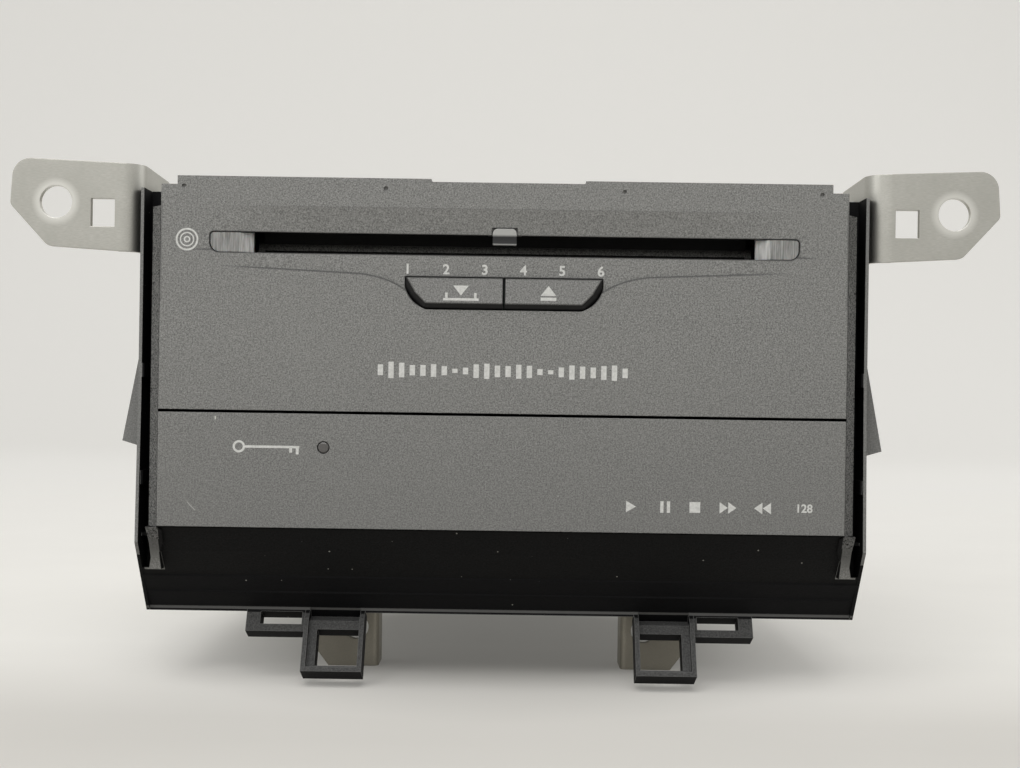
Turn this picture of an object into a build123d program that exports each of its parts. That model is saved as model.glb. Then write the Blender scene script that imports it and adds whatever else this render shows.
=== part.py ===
from build123d import *
from math import hypot, pi
import os

# In-dash disc changer: a moulded fascia on a folded steel case that holds a stack of six disc trays,
# the loading roller, the stack's lift and a swinging play arm. Millimetres.
# The front looks along -Y, +Z is up and +X is to the viewer's right. The origin is midway between the
# two upper mounting holes, on the rear face of the ears that carry them.

# ---------------------------------------------------------------- driving dimensions
# Disc and trays
DISC_R = 60.0
DISC_T = 1.2
TRAY_COUNT = 6
TRAY_PITCH = 2.3
TRAY_T = 0.8
TRAY_HALF_W = 64.5
TRAY_DEPTH = 114.0
DISC_CENTRE_Y = 95.0

# Face panels
FACE_Y = -7.6
FACE_TOP = 6.1
FACE_BOTTOM = -79.1
SHOULDER_W = 4.0
SHOULDER_DROP = 2.1
PANEL_WALL = 2.2
PANEL_BACK_Y = 6.0
BEVEL_W = 2.8
BEVEL_DEPTH = 3.4
BEVEL_STEP = 0.5
SIDE_WALL = 1.6
SEAM_Z = -51.0
SEAM_GAP = 0.7
NOTCH_LOW_X = -18.0
NOTCH_HIGH_X = 19.6
NOTCH_DROP = 0.7
PANEL_EDGE_R = 0.4
DIMPLES_X = (-78.0, -29.0, 29.0, 77.0)
DIMPLE_R = 0.5
DIMPLE_DROP = 2.5

# Disc slot
SLOT_Z = -9.85
SLOT_HALF_W = 61.25
SLOT_H = 5.1
GUIDE_W = 10.45
COVE_TOP = -1.0
COVE_DEPTH = 1.3
COVE_EDGE = 0.6
COVE_END_DEPTH = 0.03
COVE_FULL_X = 48.0
COVE_HALF_W = 76.0
CREASE_DEPTH = 0.45
CREASE_RUN = 26.0
LENS_NOTCH_W = 5.8
LENS_NOTCH_TOP = -5.7
GUIDE_FLANGE = 1.2
GUIDE_LOW_R = 2.3
GUIDE_TOP_R = 0.9
FELT_GAP = 0.15
FELT_T = 1.0
CHUTE_GAP = 1.0
CHUTE_T = 0.8
CHUTE_FRONT = -4.0
DISC_WAY_HALF_W = 62.5

# Buttons and their switches
BUTTON_TOP = -17.9
BUTTON_BOTTOM = -25.3
BUTTON_HALF_W = 23.76
BUTTON_CORNER_X = 18.6
BUTTON_CORNER_Z = -20.1
BUTTON_BULGE = 0.9
BUTTON_SPLIT = 0.35
BUTTON_PROUD = 1.0
BUTTON_CHAMFER = 1.3
BUTTON_FLANGE = 1.0
BUTTON_TRAVEL = 0.8
BUTTON_GAP = 0.3
SWITCH_X = 12.0
SWITCH_SIZE = 6.0
SWITCH_BODY_T = 2.0
PLUNGER_R = 1.5
STEM_R = 2.0
BOARD_T = 1.6
SWITCH_BOARD_Y = 1.0
PLUNGER_DEPTH = 1.6
SWITCH_BOARD_HALF_W = 40.0
SWITCH_BOARD_HALF_H = 6.8
BOARD_POSTS_X = (-36.0, 36.0)
BOARD_POST_Z = 5.0
BOARD_POST_R = 1.6

# Theft warning lamp
LED_X = -43.3
LED_Z = -59.5
LED_R = 1.45
LED_GAP = 0.08
LED_POST_X = 8.0
LED_BOARD_Y = -2.0
LED_BOARD_HALF_W = 11.0
LED_BOARD_HALF_H = 6.0

# Front frame
CHANNEL_W = 2.8
FRAME_WALL = 0.8
FRAME_FRONT_Y = -1.6
FRAME_TOP = 3.8
FRAME_PLATE = 2.0
WALL_LEAN_Z = -47.0
WALL_KNEE_Y = -3.1
WALL_KNEE_Z = -83.7
SKIRT_TOP_Y = -6.6
SKIRT_GAP = 0.3
SKIRT_CREASE_Y = -2.6
SKIRT_CREASE_Z = -85.6
SKIRT_STEP_Y = 2.9
SKIRT_STEP_Z = -92.1
SKIRT_STEP_H = 0.5
SKIRT_WALL = 1.5
LIP_Y = 9.6
LIP_Z = -101.0
LIP_H = 1.3
LIP_DEPTH = 4.4
FIN_TOP = -29.8
FIN_BOTTOM = -59.0
FIN_SLANT = 1.6
FIN_W = 5.4
FIN_Y = 4.4
FOOT_Z = -90.4
STRIP_GAP = 0.1
STRIP_TOP = -1.2
STRIP_NOTCHES_Z = (-20.3, -46.0, -70.3)
NOTCH_DEPTH = 0.6
NOTCH_H = 0.4
FOOT_BULGE = 1.2
FOOT_FLARE = 0.3
FOOT_WAIST = 0.5
CHANNEL_LOW = -82.4
WALL_TABS_Z = (-43.0, -69.5)
WALL_TAB_H = 3.4
WALL_TAB_T = 0.6
FRAME_SCREW_INSET = 5.6
FRAME_SCREWS_Z = (-30.0, -70.0)
FRAME_BOSS_R = 3.2

# Hook loops under the lip
HOOK_TILT = 28.0
HOOK_T = 5.0
HOOK_WALL = 1.2
HOOK_SLANT = 2.8
RECESS_DEPTH = 2.0
BIG_HOOK_X = 34.2
BIG_HOOK_W = 15.2
BIG_HOOK_LENGTH = 16.5
BIG_WINDOW_W = 10.7
BIG_WINDOW_TOP = 5.2
BIG_WINDOW_H = 9.4
BIG_RIM = 1.5
SMALL_HOOK_W = 15.7
SMALL_HOOK_LENGTH = 5.8
SMALL_WINDOW_W = 10.5
SMALL_WINDOW_TOP = 0.6
SMALL_WINDOW_H = 3.3

# Steel case
SHEET = 1.0
CASE_HALF_W = 90.0
CASE_TOP = 5.0
CASE_BOTTOM = -95.0
CASE_FRONT_Y = 14.0
CASE_DEPTH = 160.0
DECK_TOP = -50.0
COVER_LIP = 8.0
COVER_TAB_W = 9.0
COVER_SCREW_INSET_X = 7.0
COVER_SCREW_INSET_Y = 8.0
COVER_RIB_X = 45.0
COVER_RIB_W = 8.0
COVER_RIB_H = 0.6
COVER_RIB_INSET = 25.0
WINDOW_SIDE = 3.0
WINDOW_DROP = 1.6
WINDOW_ROOF = 3.0
VENT_ROWS = 2
VENT_COLUMNS = 5
VENT_PITCH = 8.0
VENT_W = 2.4
VENT_H = 5.0
VENT_Y = 132.0
VENT_Z = -78.0

# Side brackets with their ears
BRACKET_T = 1.6
EAR_HOLE_OUT = 21.0
EAR_HOLE_R = 4.0
EAR_REACH = 11.3
EAR_LEAN = 0.7
EAR_RISE = 1.1
EAR_CUT_X = 1.9
EAR_TOP_R = 4.6
EAR_TIP_R = 1.8
EAR_LOW_R = 2.5
EAR_BEND_R = 5.6
EAR_SQUARE_W = 5.9
EAR_SQUARE_H = 6.9
EAR_SQUARE_OUT = 9.4
EAR_SQUARE_Z = -2.5
BRACKET_TOP = 9.8
BRACKET_LOW = -12.0
BRACKET_DROP = 4.8
BRACKET_KNEE_Y = 26.0
BRACKET_WIDE_Y = 46.0
BRACKET_BOTTOM = -70.0
BRACKET_REAR_Y = 130.0
SIDE_SCREW_FRONT = 9.0
SIDE_SCREW_INSET = 7.0

# Leg brackets
LEG_X = 32.6
LEG_W = 19.4
LEG_Y = 30.0
LEG_BOTTOM = -119.9
LEG_HOLE_X = 38.6
LEG_HOLE_Z = -109.4
LEG_HOLE_R = 3.25
LEG_CHAMFER_W = 6.0
LEG_CHAMFER_H = 7.9
LEG_FLANGE = 10.0
LEG_FOOT = 30.0
LEG_BEND_R = 1.5
LEG_SCREW_INSET = 5.0
LEG_SCREW_FRONT = 10.0
LEG_SCREW_PITCH = 14.0

# Screws
SCREW_R = 1.5
SCREW_HEAD_R = 3.0
SCREW_HEAD_H = 1.8
SCREW_LENGTH = 5.0

# Running clearances
FIT = 0.05
FREE = 0.3
DISC_GAP = 0.6

# Loading roller and its gears
ROLLER_Y = 24.0
ROLLER_R = 4.0
ROLLER_HALF_W = 60.0
SHAFT_R = 1.5
ROLLER_PLATE_X = 69.0
ROLLER_PLATE_T = 1.2
ROLLER_PLATE_RISE = 8.0
ROLLER_PLATE_FOOT = 8.0
ROLLER_PLATE_FRONT = 17.0
ROLLER_PLATE_REAR = 34.0
GEAR_T = 3.0
GEAR_MESH = 0.15
TOOTH_H = 0.9
ROLLER_GEAR_R = 6.0
ROLLER_GEAR_TEETH = 24
IDLER_R = 8.0
IDLER_TEETH = 32
PINION_R = 3.0
PINION_TEETH = 12
LOADING_MOTOR_R = 6.5
LOADING_MOTOR_L = 26.0
DISC_GUIDE_Y = 18.5
DISC_GUIDE_DEPTH = 11.0
DISC_GUIDE_T = 2.0
MOTOR_SHAFT_R = 0.8
MOTOR_SHAFT_IN = 4.0
GUIDE_RIBS = 9

# Dust door
DOOR_Y = 9.6
DOOR_Z = -5.2
DOOR_HALF_W = 63.0
DOOR_T = 0.8
DOOR_H = 7.8
DOOR_PIN_R = 0.8
DOOR_PIN_L = 2.2
DOOR_LUG_T = 1.2

# Tray lift
CARRIER_W = 6.0
CARRIER_FRONT = 60.0
CARRIER_REAR = 130.0
POST_R = 1.5
POST_INSET_Y = 5.0
PIN_R = 1.5
PIN_Z = -16.0
PIN_FRONT_Y = 77.0
PIN_REAR_Y = 113.0
PIN_L = 2.9
CAM_T = 1.2
CAM_GAP = 0.5
CAM_TOP = -1.0
CAM_BOTTOM = -27.0
CAM_FRONT = 56.0
CAM_REAR = 158.0
LIFT_SHAFT_Y = 154.0
LIFT_PINION_R = 6.0
LIFT_PINION_TEETH = 24
LIFT_GEAR_R = 10.0
LIFT_GEAR_TEETH = 40
LIFT_GEAR_X = -60.0
LIFT_MOTOR_R = 8.0
LIFT_MOTOR_L = 30.0
BEARING_GAP = 3.8
BEARING_T = 2.0
BEARING_HALF = 4.0
TRAY_CORNER = 12.0
TRAY_HOLE_R = 19.0
CAM_GUIDES_Y = (84.0, 138.0)
CAM_GUIDE_DEPTH = 6.0
CAM_GUIDE_H = 12.0
CAM_GUIDE_STEP = 3.2
CAM_GUIDE_CAP_W = 4.0
CAM_GUIDE_CAP_T = 1.7

# Swinging play arm, drawn in its parked place along the right wall
ARM_WALL_GAP = 3.0
ARM_PIVOT_Y = 140.0
ARM_PLATE_TOP = -33.0
ARM_PLATE_T = 1.5
ARM_HALF_W = 12.0
ARM_HUB_R = 7.0
ARM_HUB_H = 5.0
POST_SEAT_R = 3.0
TURNTABLE_R = 11.0
TURNTABLE_T = 2.0
TURNTABLE_TOP = -29.5
HUB_CONE_R = 7.3
HUB_CONE_H = 2.0
SPINDLE_R = 1.0
SPINDLE_MOTOR_R = 10.0
SPINDLE_MOTOR_H = 10.0
ROD_R = 1.0
ROD_V = 9.0
ROD_Z = -38.5
SLED_LENGTH = 12.0
SLED_HALF_W = 11.0
SLED_H = 5.0
SLED_INNER_R = 23.0
SLED_TRAVEL = 35.0
ARM_FLANGE_T = 1.5
ARM_FLANGE_BOTTOM = -48.0
ARM_FLANGE_GAP = 1.0
FEED_SCREW_R = 1.5
FEED_SCREW_Z = -44.5
FEED_SCREW_IN = 3.0
FEED_MOTOR_R = 4.5
FEED_MOTOR_L = 10.0
NUT_HALF = 4.0
LENS_R = 3.0
LENS_H = 2.6

# Electronics
MAIN_BOARD_Z = -88.0
MAIN_BOARD_GAP = 5.0
MAIN_BOARD_FRONT = 20.0
MAIN_BOARD_REAR = 168.0
BOSS_R = 3.0
BOARD_SCREW_INSET = 5.0
BOARD_SCREW_REAR = 9.0
SOCKET_INSET = 19.0
SOCKET_SPACE = 10.0
MAIN_SOCKET_W = 48.0
MAIN_SOCKET_H = 22.0
AUX_SOCKET_W = 26.0
AUX_SOCKET_H = 14.0
SOCKET_WALL = 1.4
PIN_SIDE = 1.0
SOCKET_OUT = 3.0
SOCKET_IN = 14.0
ANTENNA_INSET = 15.0
ANTENNA_Z = -72.0
ANTENNA_R = 6.0
ANTENNA_BORE_R = 4.2
ANTENNA_IN = 12.0
ANTENNA_OUT = 8.0
SINK_X = (24.0, 62.0)
SINK_Z = (-88.0, -30.0)
SINK_BASE = 4.0
SINK_FIN_OUT = 14.0
SINK_FIN_T = 1.6
SINK_FINS = 7
CAPACITORS = (
    (-60.0, 60.0, 8.0, 25.0),
    (-40.0, 60.0, 8.0, 25.0),
    (-60.0, 82.0, 5.0, 14.0),
    (-47.0, 82.0, 5.0, 14.0),
    (60.0, 40.0, 5.0, 14.0),
    (60.0, 54.0, 5.0, 14.0),
)
CHIPS = ((-10.0, 50.0, 20.0), (22.0, 56.0, 14.0), (-12.0, 88.0, 14.0), (12.0, 92.0, 10.0))
CHIP_T = 1.5
POWER_CHIP_X = (28.0, 58.0)
POWER_CHIP_T = 4.5
POWER_CHIP_H = 20.0
TUNER_INSET = 2.0
TUNER_W = 36.0
TUNER_Y = 96.0
TUNER_DEPTH = 54.0
TUNER_H = 14.0
TUNER_WALL = 0.8


# ---------------------------------------------------------------- shape helpers
def block(x, y, z):
    """Block that fills three (low, high) ranges."""
    sizes = [high - low for low, high in (x, y, z)]
    centre = [(high + low) / 2 for low, high in (x, y, z)]
    return Pos(*centre) * Box(*sizes)


def rod(axis, radius, span, centre):
    """Round bar along an axis over a span; centre gives its other two coordinates in X, Y, Z order."""
    bar = Cylinder(radius, span[1] - span[0])
    middle = (span[0] + span[1]) / 2
    if axis == "X":
        return Pos(middle, centre[0], centre[1]) * Rot(0, 90, 0) * bar
    if axis == "Y":
        return Pos(centre[0], middle, centre[1]) * Rot(90, 0, 0) * bar
    return Pos(centre[0], centre[1], middle) * bar


def front_prism(outline, y):
    """Outline of (x, z) points, filled and drawn out from y[0] back to y[1]."""
    plane = Plane(origin=(0, y[0], 0), x_dir=(1, 0, 0), z_dir=(0, -1, 0))
    return extrude(plane * make_face(outline), amount=-(y[1] - y[0]))


def side_prism(outline, x):
    """Outline of (y, z) points, filled and drawn out from x[0] to x[1]."""
    plane = Plane(origin=(x[0], 0, 0), x_dir=(0, 1, 0), z_dir=(1, 0, 0))
    return extrude(plane * make_face(outline), amount=x[1] - x[0])


def polygon(*points):
    return Polyline(*points, close=True)


def mirrored(shape):
    return mirror(shape, about=Plane.YZ)


def both_sides(shape):
    """The shape and its twin across the centre plane."""
    return Compound([shape, mirrored(shape)])


def group(shapes):
    """Several separate solids kept in one node."""
    return Compound([solid for shape in shapes for solid in shape.solids()])


def spur_gear(radius, teeth, thickness):
    """Fine-toothed gear about Z; its tips stop one mesh gap inside the pitch circle."""
    tip = radius - GEAR_MESH
    disc = Cylinder(tip, thickness)
    gap = Pos(tip, 0, 0) * Box(2 * TOOTH_H, pi * tip / teeth * 0.9, thickness + 1)
    return disc - PolarLocations(0, teeth) * gap


def gear_x(radius, teeth, x, centre):
    """Spur gear on an X axis over the range x."""
    gear = spur_gear(radius, teeth, x[1] - x[0])
    return Pos((x[0] + x[1]) / 2, centre[0], centre[1]) * Rot(0, 90, 0) * gear


def screw(head, direction, length=SCREW_LENGTH):
    """Cross-head screw whose head seats at the point and whose thread runs along the direction."""
    seat = Plane(origin=head, z_dir=direction)
    thread = Pos(0, 0, length / 2) * Cylinder(SCREW_R, length)
    cap = Pos(0, 0, -SCREW_HEAD_H / 2) * Cylinder(SCREW_HEAD_R, SCREW_HEAD_H)
    cap = chamfer(cap.faces().sort_by(Axis.Z)[0].edges(), SCREW_HEAD_H / 3)
    recess = [
        Pos(0, 0, -SCREW_HEAD_H) * Box(SCREW_HEAD_R, SCREW_HEAD_R / 4, SCREW_HEAD_H),
        Pos(0, 0, -SCREW_HEAD_H) * Box(SCREW_HEAD_R / 4, SCREW_HEAD_R, SCREW_HEAD_H),
    ]
    return seat * (thread + cap - recess)


# ---------------------------------------------------------------- shared places
panel_inside_y = FACE_Y + PANEL_WALL
slot_top = SLOT_Z + SLOT_H / 2
slot_bottom = SLOT_Z - SLOT_H / 2
slot_outer = SLOT_HALF_W + GUIDE_W
plate_back_y = PANEL_BACK_Y + FRAME_PLATE
case_rear_y = CASE_FRONT_Y + CASE_DEPTH
case_inside_x = CASE_HALF_W - SHEET
frame_half_w = CASE_HALF_W
face_half_w = frame_half_w - FRAME_WALL - CHANNEL_W - BEVEL_W
strip_outer = face_half_w + BEVEL_W
frame_screw_x = face_half_w - FRAME_SCREW_INSET
ear_hole_x = CASE_HALF_W + EAR_HOLE_OUT
ear_square_x = CASE_HALF_W + EAR_SQUARE_OUT
main_board_half_w = case_inside_x - MAIN_BOARD_GAP
antenna_x = case_inside_x - ANTENNA_INSET
socket_z = MAIN_BOARD_Z + BOARD_T
socket_x = SOCKET_INSET - case_inside_x
main_socket = (socket_x, socket_z, MAIN_SOCKET_W, MAIN_SOCKET_H)
aux_socket = (socket_x + MAIN_SOCKET_W + SOCKET_SPACE, socket_z, AUX_SOCKET_W, AUX_SOCKET_H)
arm_pivot_x = case_inside_x - ARM_HALF_W - ARM_WALL_GAP
switch_z = (BUTTON_TOP + BUTTON_BOTTOM) / 2
roller_z = SLOT_Z - DISC_T / 2 - FIT - ROLLER_R
tray_top = SLOT_Z - DISC_GAP
stack_lift = TRAY_PITCH * (TRAY_COUNT - 1)
arm_reach = hypot(arm_pivot_x, ARM_PIVOT_Y - DISC_CENTRE_Y)
carrier_outer = TRAY_HALF_W + CARRIER_W
cam_inner = carrier_outer + CAM_GAP
bearing_x = cam_inner + CAM_T + BEARING_GAP
lift_shaft_z = CAM_BOTTOM - LIFT_PINION_R
idler_z = roller_z - ROLLER_GEAR_R - IDLER_R
pinion_z = idler_z - IDLER_R - PINION_R
plunger_front = SWITCH_BOARD_Y - SWITCH_BODY_T - BUTTON_TRAVEL - BUTTON_GAP
gear_low_x = ROLLER_PLATE_X + ROLLER_PLATE_T + FREE
gear_x_range = (gear_low_x, gear_low_x + GEAR_T)
post_x = TRAY_HALF_W + CARRIER_W / 2
post_ys = (CARRIER_FRONT + POST_INSET_Y, CARRIER_REAR - POST_INSET_Y)
lift_gear_span = (LIFT_GEAR_X, LIFT_GEAR_X + GEAR_T + 1)
lift_motor_y = LIFT_SHAFT_Y - LIFT_GEAR_R - PINION_R
lift_motor_x = lift_gear_span[1] + 2 * FREE
sled_u = arm_reach - SLED_INNER_R
flange_far = sled_u + SLED_LENGTH / 2 + ARM_FLANGE_GAP
flange_near = sled_u - SLED_TRAVEL - SLED_LENGTH / 2 - ARM_FLANGE_GAP
arm_bottom = ARM_PLATE_TOP - ARM_PLATE_T
side_screws = tuple(
    (y, z)
    for y in (BRACKET_WIDE_Y + SIDE_SCREW_FRONT, BRACKET_REAR_Y - SIDE_SCREW_INSET)
    for z in (BRACKET_LOW - SIDE_SCREW_INSET, BRACKET_BOTTOM + SIDE_SCREW_INSET)
)
leg_screw_x = LEG_X + LEG_W - LEG_SCREW_INSET
leg_screws_y = (LEG_Y + LEG_SCREW_FRONT, LEG_Y + LEG_SCREW_FRONT + LEG_SCREW_PITCH)
cover_screws = tuple(
    (x, y)
    for x in (COVER_SCREW_INSET_X - CASE_HALF_W, CASE_HALF_W - COVER_SCREW_INSET_X)
    for y in (CASE_FRONT_Y + COVER_SCREW_INSET_Y, case_rear_y - COVER_SCREW_INSET_Y)
)
board_screws = tuple(
    (x, y)
    for x in (BOARD_SCREW_INSET - main_board_half_w, main_board_half_w - BOARD_SCREW_INSET)
    for y in (MAIN_BOARD_FRONT + BOARD_SCREW_INSET, MAIN_BOARD_REAR - BOARD_SCREW_REAR)
)
sink_screws = ((SINK_X[0] + 5, SINK_Z[1] - 5), (SINK_X[1] - 5, SINK_Z[1] - 5))


def arm_y(reach):
    """Y of a point at this reach from the pivot along the parked arm."""
    return ARM_PIVOT_Y - reach


# ---------------------------------------------------------------- fascia
def panel_cap(z_low, z_high, wall_low, wall_high):
    """Cap-shaped moulding: front sheet with walls back to the frame plate at its four edges."""
    half = face_half_w
    cap = block((-half, half), (FACE_Y, PANEL_BACK_Y), (z_low, z_high))
    front_ends = cap.edges().filter_by(Axis.Z).sort_by(Axis.Y)[:2]
    cap = fillet(front_ends, PANEL_EDGE_R)
    inside = half - SIDE_WALL
    hollow = (z_low + wall_low, z_high - wall_high)
    return cap - block((-inside, inside), (panel_inside_y, PANEL_BACK_Y + 1), hollow)


def button_outline(grow):
    """Right half of the button pair, grown all round by the given gap."""
    outer = BUTTON_HALF_W + grow
    corner = BUTTON_CORNER_X + grow
    low = BUTTON_BOTTOM - grow
    bulge_x = (outer + corner) / 2 + BUTTON_BULGE
    bulge_z = (BUTTON_CORNER_Z + low) / 2 - BUTTON_BULGE / 2
    top = BUTTON_TOP + grow
    start = BUTTON_SPLIT / 2 - grow
    lines = [
        Line((start, top), (outer, top)),
        Line((outer, top), (outer, BUTTON_CORNER_Z)),
        ThreePointArc((outer, BUTTON_CORNER_Z), (bulge_x, bulge_z), (corner, low)),
        Line((corner, low), (start, low)),
        Line((start, low), (start, top)),
    ]
    return lines


def crease_region(side):
    """Recessed band under the slot whose lower edge sweeps down to the button's corner."""
    inner = BUTTON_CORNER_X
    low = BUTTON_BOTTOM + 1.5
    knee = BUTTON_HALF_W + 2.4
    tail = slot_outer - 1.7
    lines = [
        Line((0, slot_bottom), (side * tail, slot_bottom)),
        Line((side * tail, slot_bottom), (side * tail, slot_bottom - 3.2)),
        Line((side * tail, slot_bottom - 3.2), (side * (knee + 9), slot_bottom - 4.7)),
        Spline(
            (side * (knee + 9), slot_bottom - 4.7),
            (side * knee, slot_bottom - 7.2),
            (side * inner, low),
            tangents=[(-side, -0.12), (-side, -0.35)],
        ),
        Line((side * inner, low), (0, low)),
        Line((0, low), (0, slot_bottom)),
    ]
    band = front_prism(lines, (FACE_Y - 1, FACE_Y + CREASE_DEPTH))
    run_out = polygon(
        (0, FACE_Y - 2),
        (0, FACE_Y + CREASE_DEPTH),
        (side * (tail - CREASE_RUN), FACE_Y + CREASE_DEPTH),
        (side * tail, FACE_Y),
        (side * tail, FACE_Y - 2),
    )
    return band & Pos(0, 0, SEAM_Z) * extrude(make_face(run_out), amount=FACE_TOP - SEAM_Z)


def cove_section(depth):
    """Outline, in (y, z), of the hollow over the slot where it is this deep."""
    low = slot_bottom + COVE_EDGE
    return polygon(
        (FACE_Y - 1, COVE_TOP),
        (FACE_Y, COVE_TOP),
        (FACE_Y + depth, slot_top - COVE_EDGE),
        (FACE_Y + depth, low),
        (FACE_Y - 1, low),
    )


def cove_end(side):
    """End of the hollow, which runs out level with the face."""
    sections = []
    for x, depth in ((COVE_FULL_X, COVE_DEPTH), (COVE_HALF_W, COVE_END_DEPTH)):
        plane = Plane(origin=(side * x, 0, 0), x_dir=(0, 1, 0), z_dir=(1, 0, 0))
        sections.append(plane * make_face(cove_section(depth)))
    return loft(sections, ruled=True)


def slot_opening():
    """Slot hole with small upper and large lower end corners."""
    outline = FilletPolyline(
        (-slot_outer, slot_top),
        (slot_outer, slot_top),
        (slot_outer, slot_bottom),
        (-slot_outer, slot_bottom),
        radius=[1.0, 1.0, 2.4, 2.4],
        close=True,
    )
    return front_prism(outline, (FACE_Y - 1, PANEL_BACK_Y))


def make_upper_panel():
    """Painted upper panel with the disc slot, the cove over it and the button hole."""
    panel = panel_cap(SEAM_Z + SEAM_GAP / 2, FACE_TOP, 0, PANEL_WALL + SHOULDER_DROP)
    deep = (FACE_Y - 1, PANEL_BACK_Y + 1)
    over = FACE_TOP + 1
    shoulder = face_half_w - SHOULDER_W
    for side in (-1, 1):
        ends = sorted((side * shoulder, side * (face_half_w + 1)))
        panel -= block(ends, deep, (FACE_TOP - SHOULDER_DROP, over))
    panel -= block((NOTCH_LOW_X, NOTCH_HIGH_X), deep, (FACE_TOP - NOTCH_DROP, over))
    for x in DIMPLES_X:
        panel -= rod("Y", DIMPLE_R, (FACE_Y - 1, FACE_Y + DIMPLE_R), (x, FACE_TOP - DIMPLE_DROP))
    panel -= side_prism(cove_section(COVE_DEPTH), (-COVE_FULL_X, COVE_FULL_X))
    for side in (-1, 1):
        panel -= cove_end(side)
        panel -= crease_region(side)
    panel -= slot_opening()
    lens_hole = LENS_NOTCH_W / 2 + FREE / 2
    panel -= block((-lens_hole, lens_hole), deep, (SLOT_Z, LENS_NOTCH_TOP + FREE / 2))
    hole = front_prism(button_outline(BUTTON_GAP), deep)
    panel -= hole
    panel -= mirrored(hole)
    for x in BOARD_POSTS_X:
        for z in (switch_z - BOARD_POST_Z, switch_z + BOARD_POST_Z):
            panel += rod("Y", BOARD_POST_R, (panel_inside_y - 0.5, SWITCH_BOARD_Y), (x, z))
    return panel


def make_lower_panel():
    """Painted lower panel with the hole of the warning lamp."""
    panel = panel_cap(FACE_BOTTOM, SEAM_Z - SEAM_GAP / 2, PANEL_WALL, 0)
    deep = (FACE_Y - 1, panel_inside_y + 1)
    panel -= rod("Y", LED_R + LED_GAP, deep, (LED_X, LED_Z))
    for x in (LED_X - LED_POST_X, LED_X + LED_POST_X):
        panel += rod("Y", BOARD_POST_R, (panel_inside_y - 0.5, LED_BOARD_Y), (x, LED_Z))
    return panel


def hook(x, width, length, window, rim):
    """Loop that hangs from the lip and leans forward; window is its x, width, top and height."""
    down = -length
    plate = block((x, x + width), (0, HOOK_T), (down, 0))
    left, wide, top, tall = window
    plate -= block((left, left + wide), (-1, HOOK_T + 1), (-top - tall, -top))
    if rim:
        edge = polygon((0, 0), (-rim, -HOOK_SLANT), (-rim, down), (0, down))
        for start in (x, x + width - HOOK_WALL):
            plate += side_prism(edge, (start, start + HOOK_WALL))
        plate += block((x, x + width), (-rim, 0), (down, down + HOOK_WALL))
    return Pos(0, LIP_Y, LIP_Z - LIP_H / 2) * Rot(-HOOK_TILT, 0, 0) * plate


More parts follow.
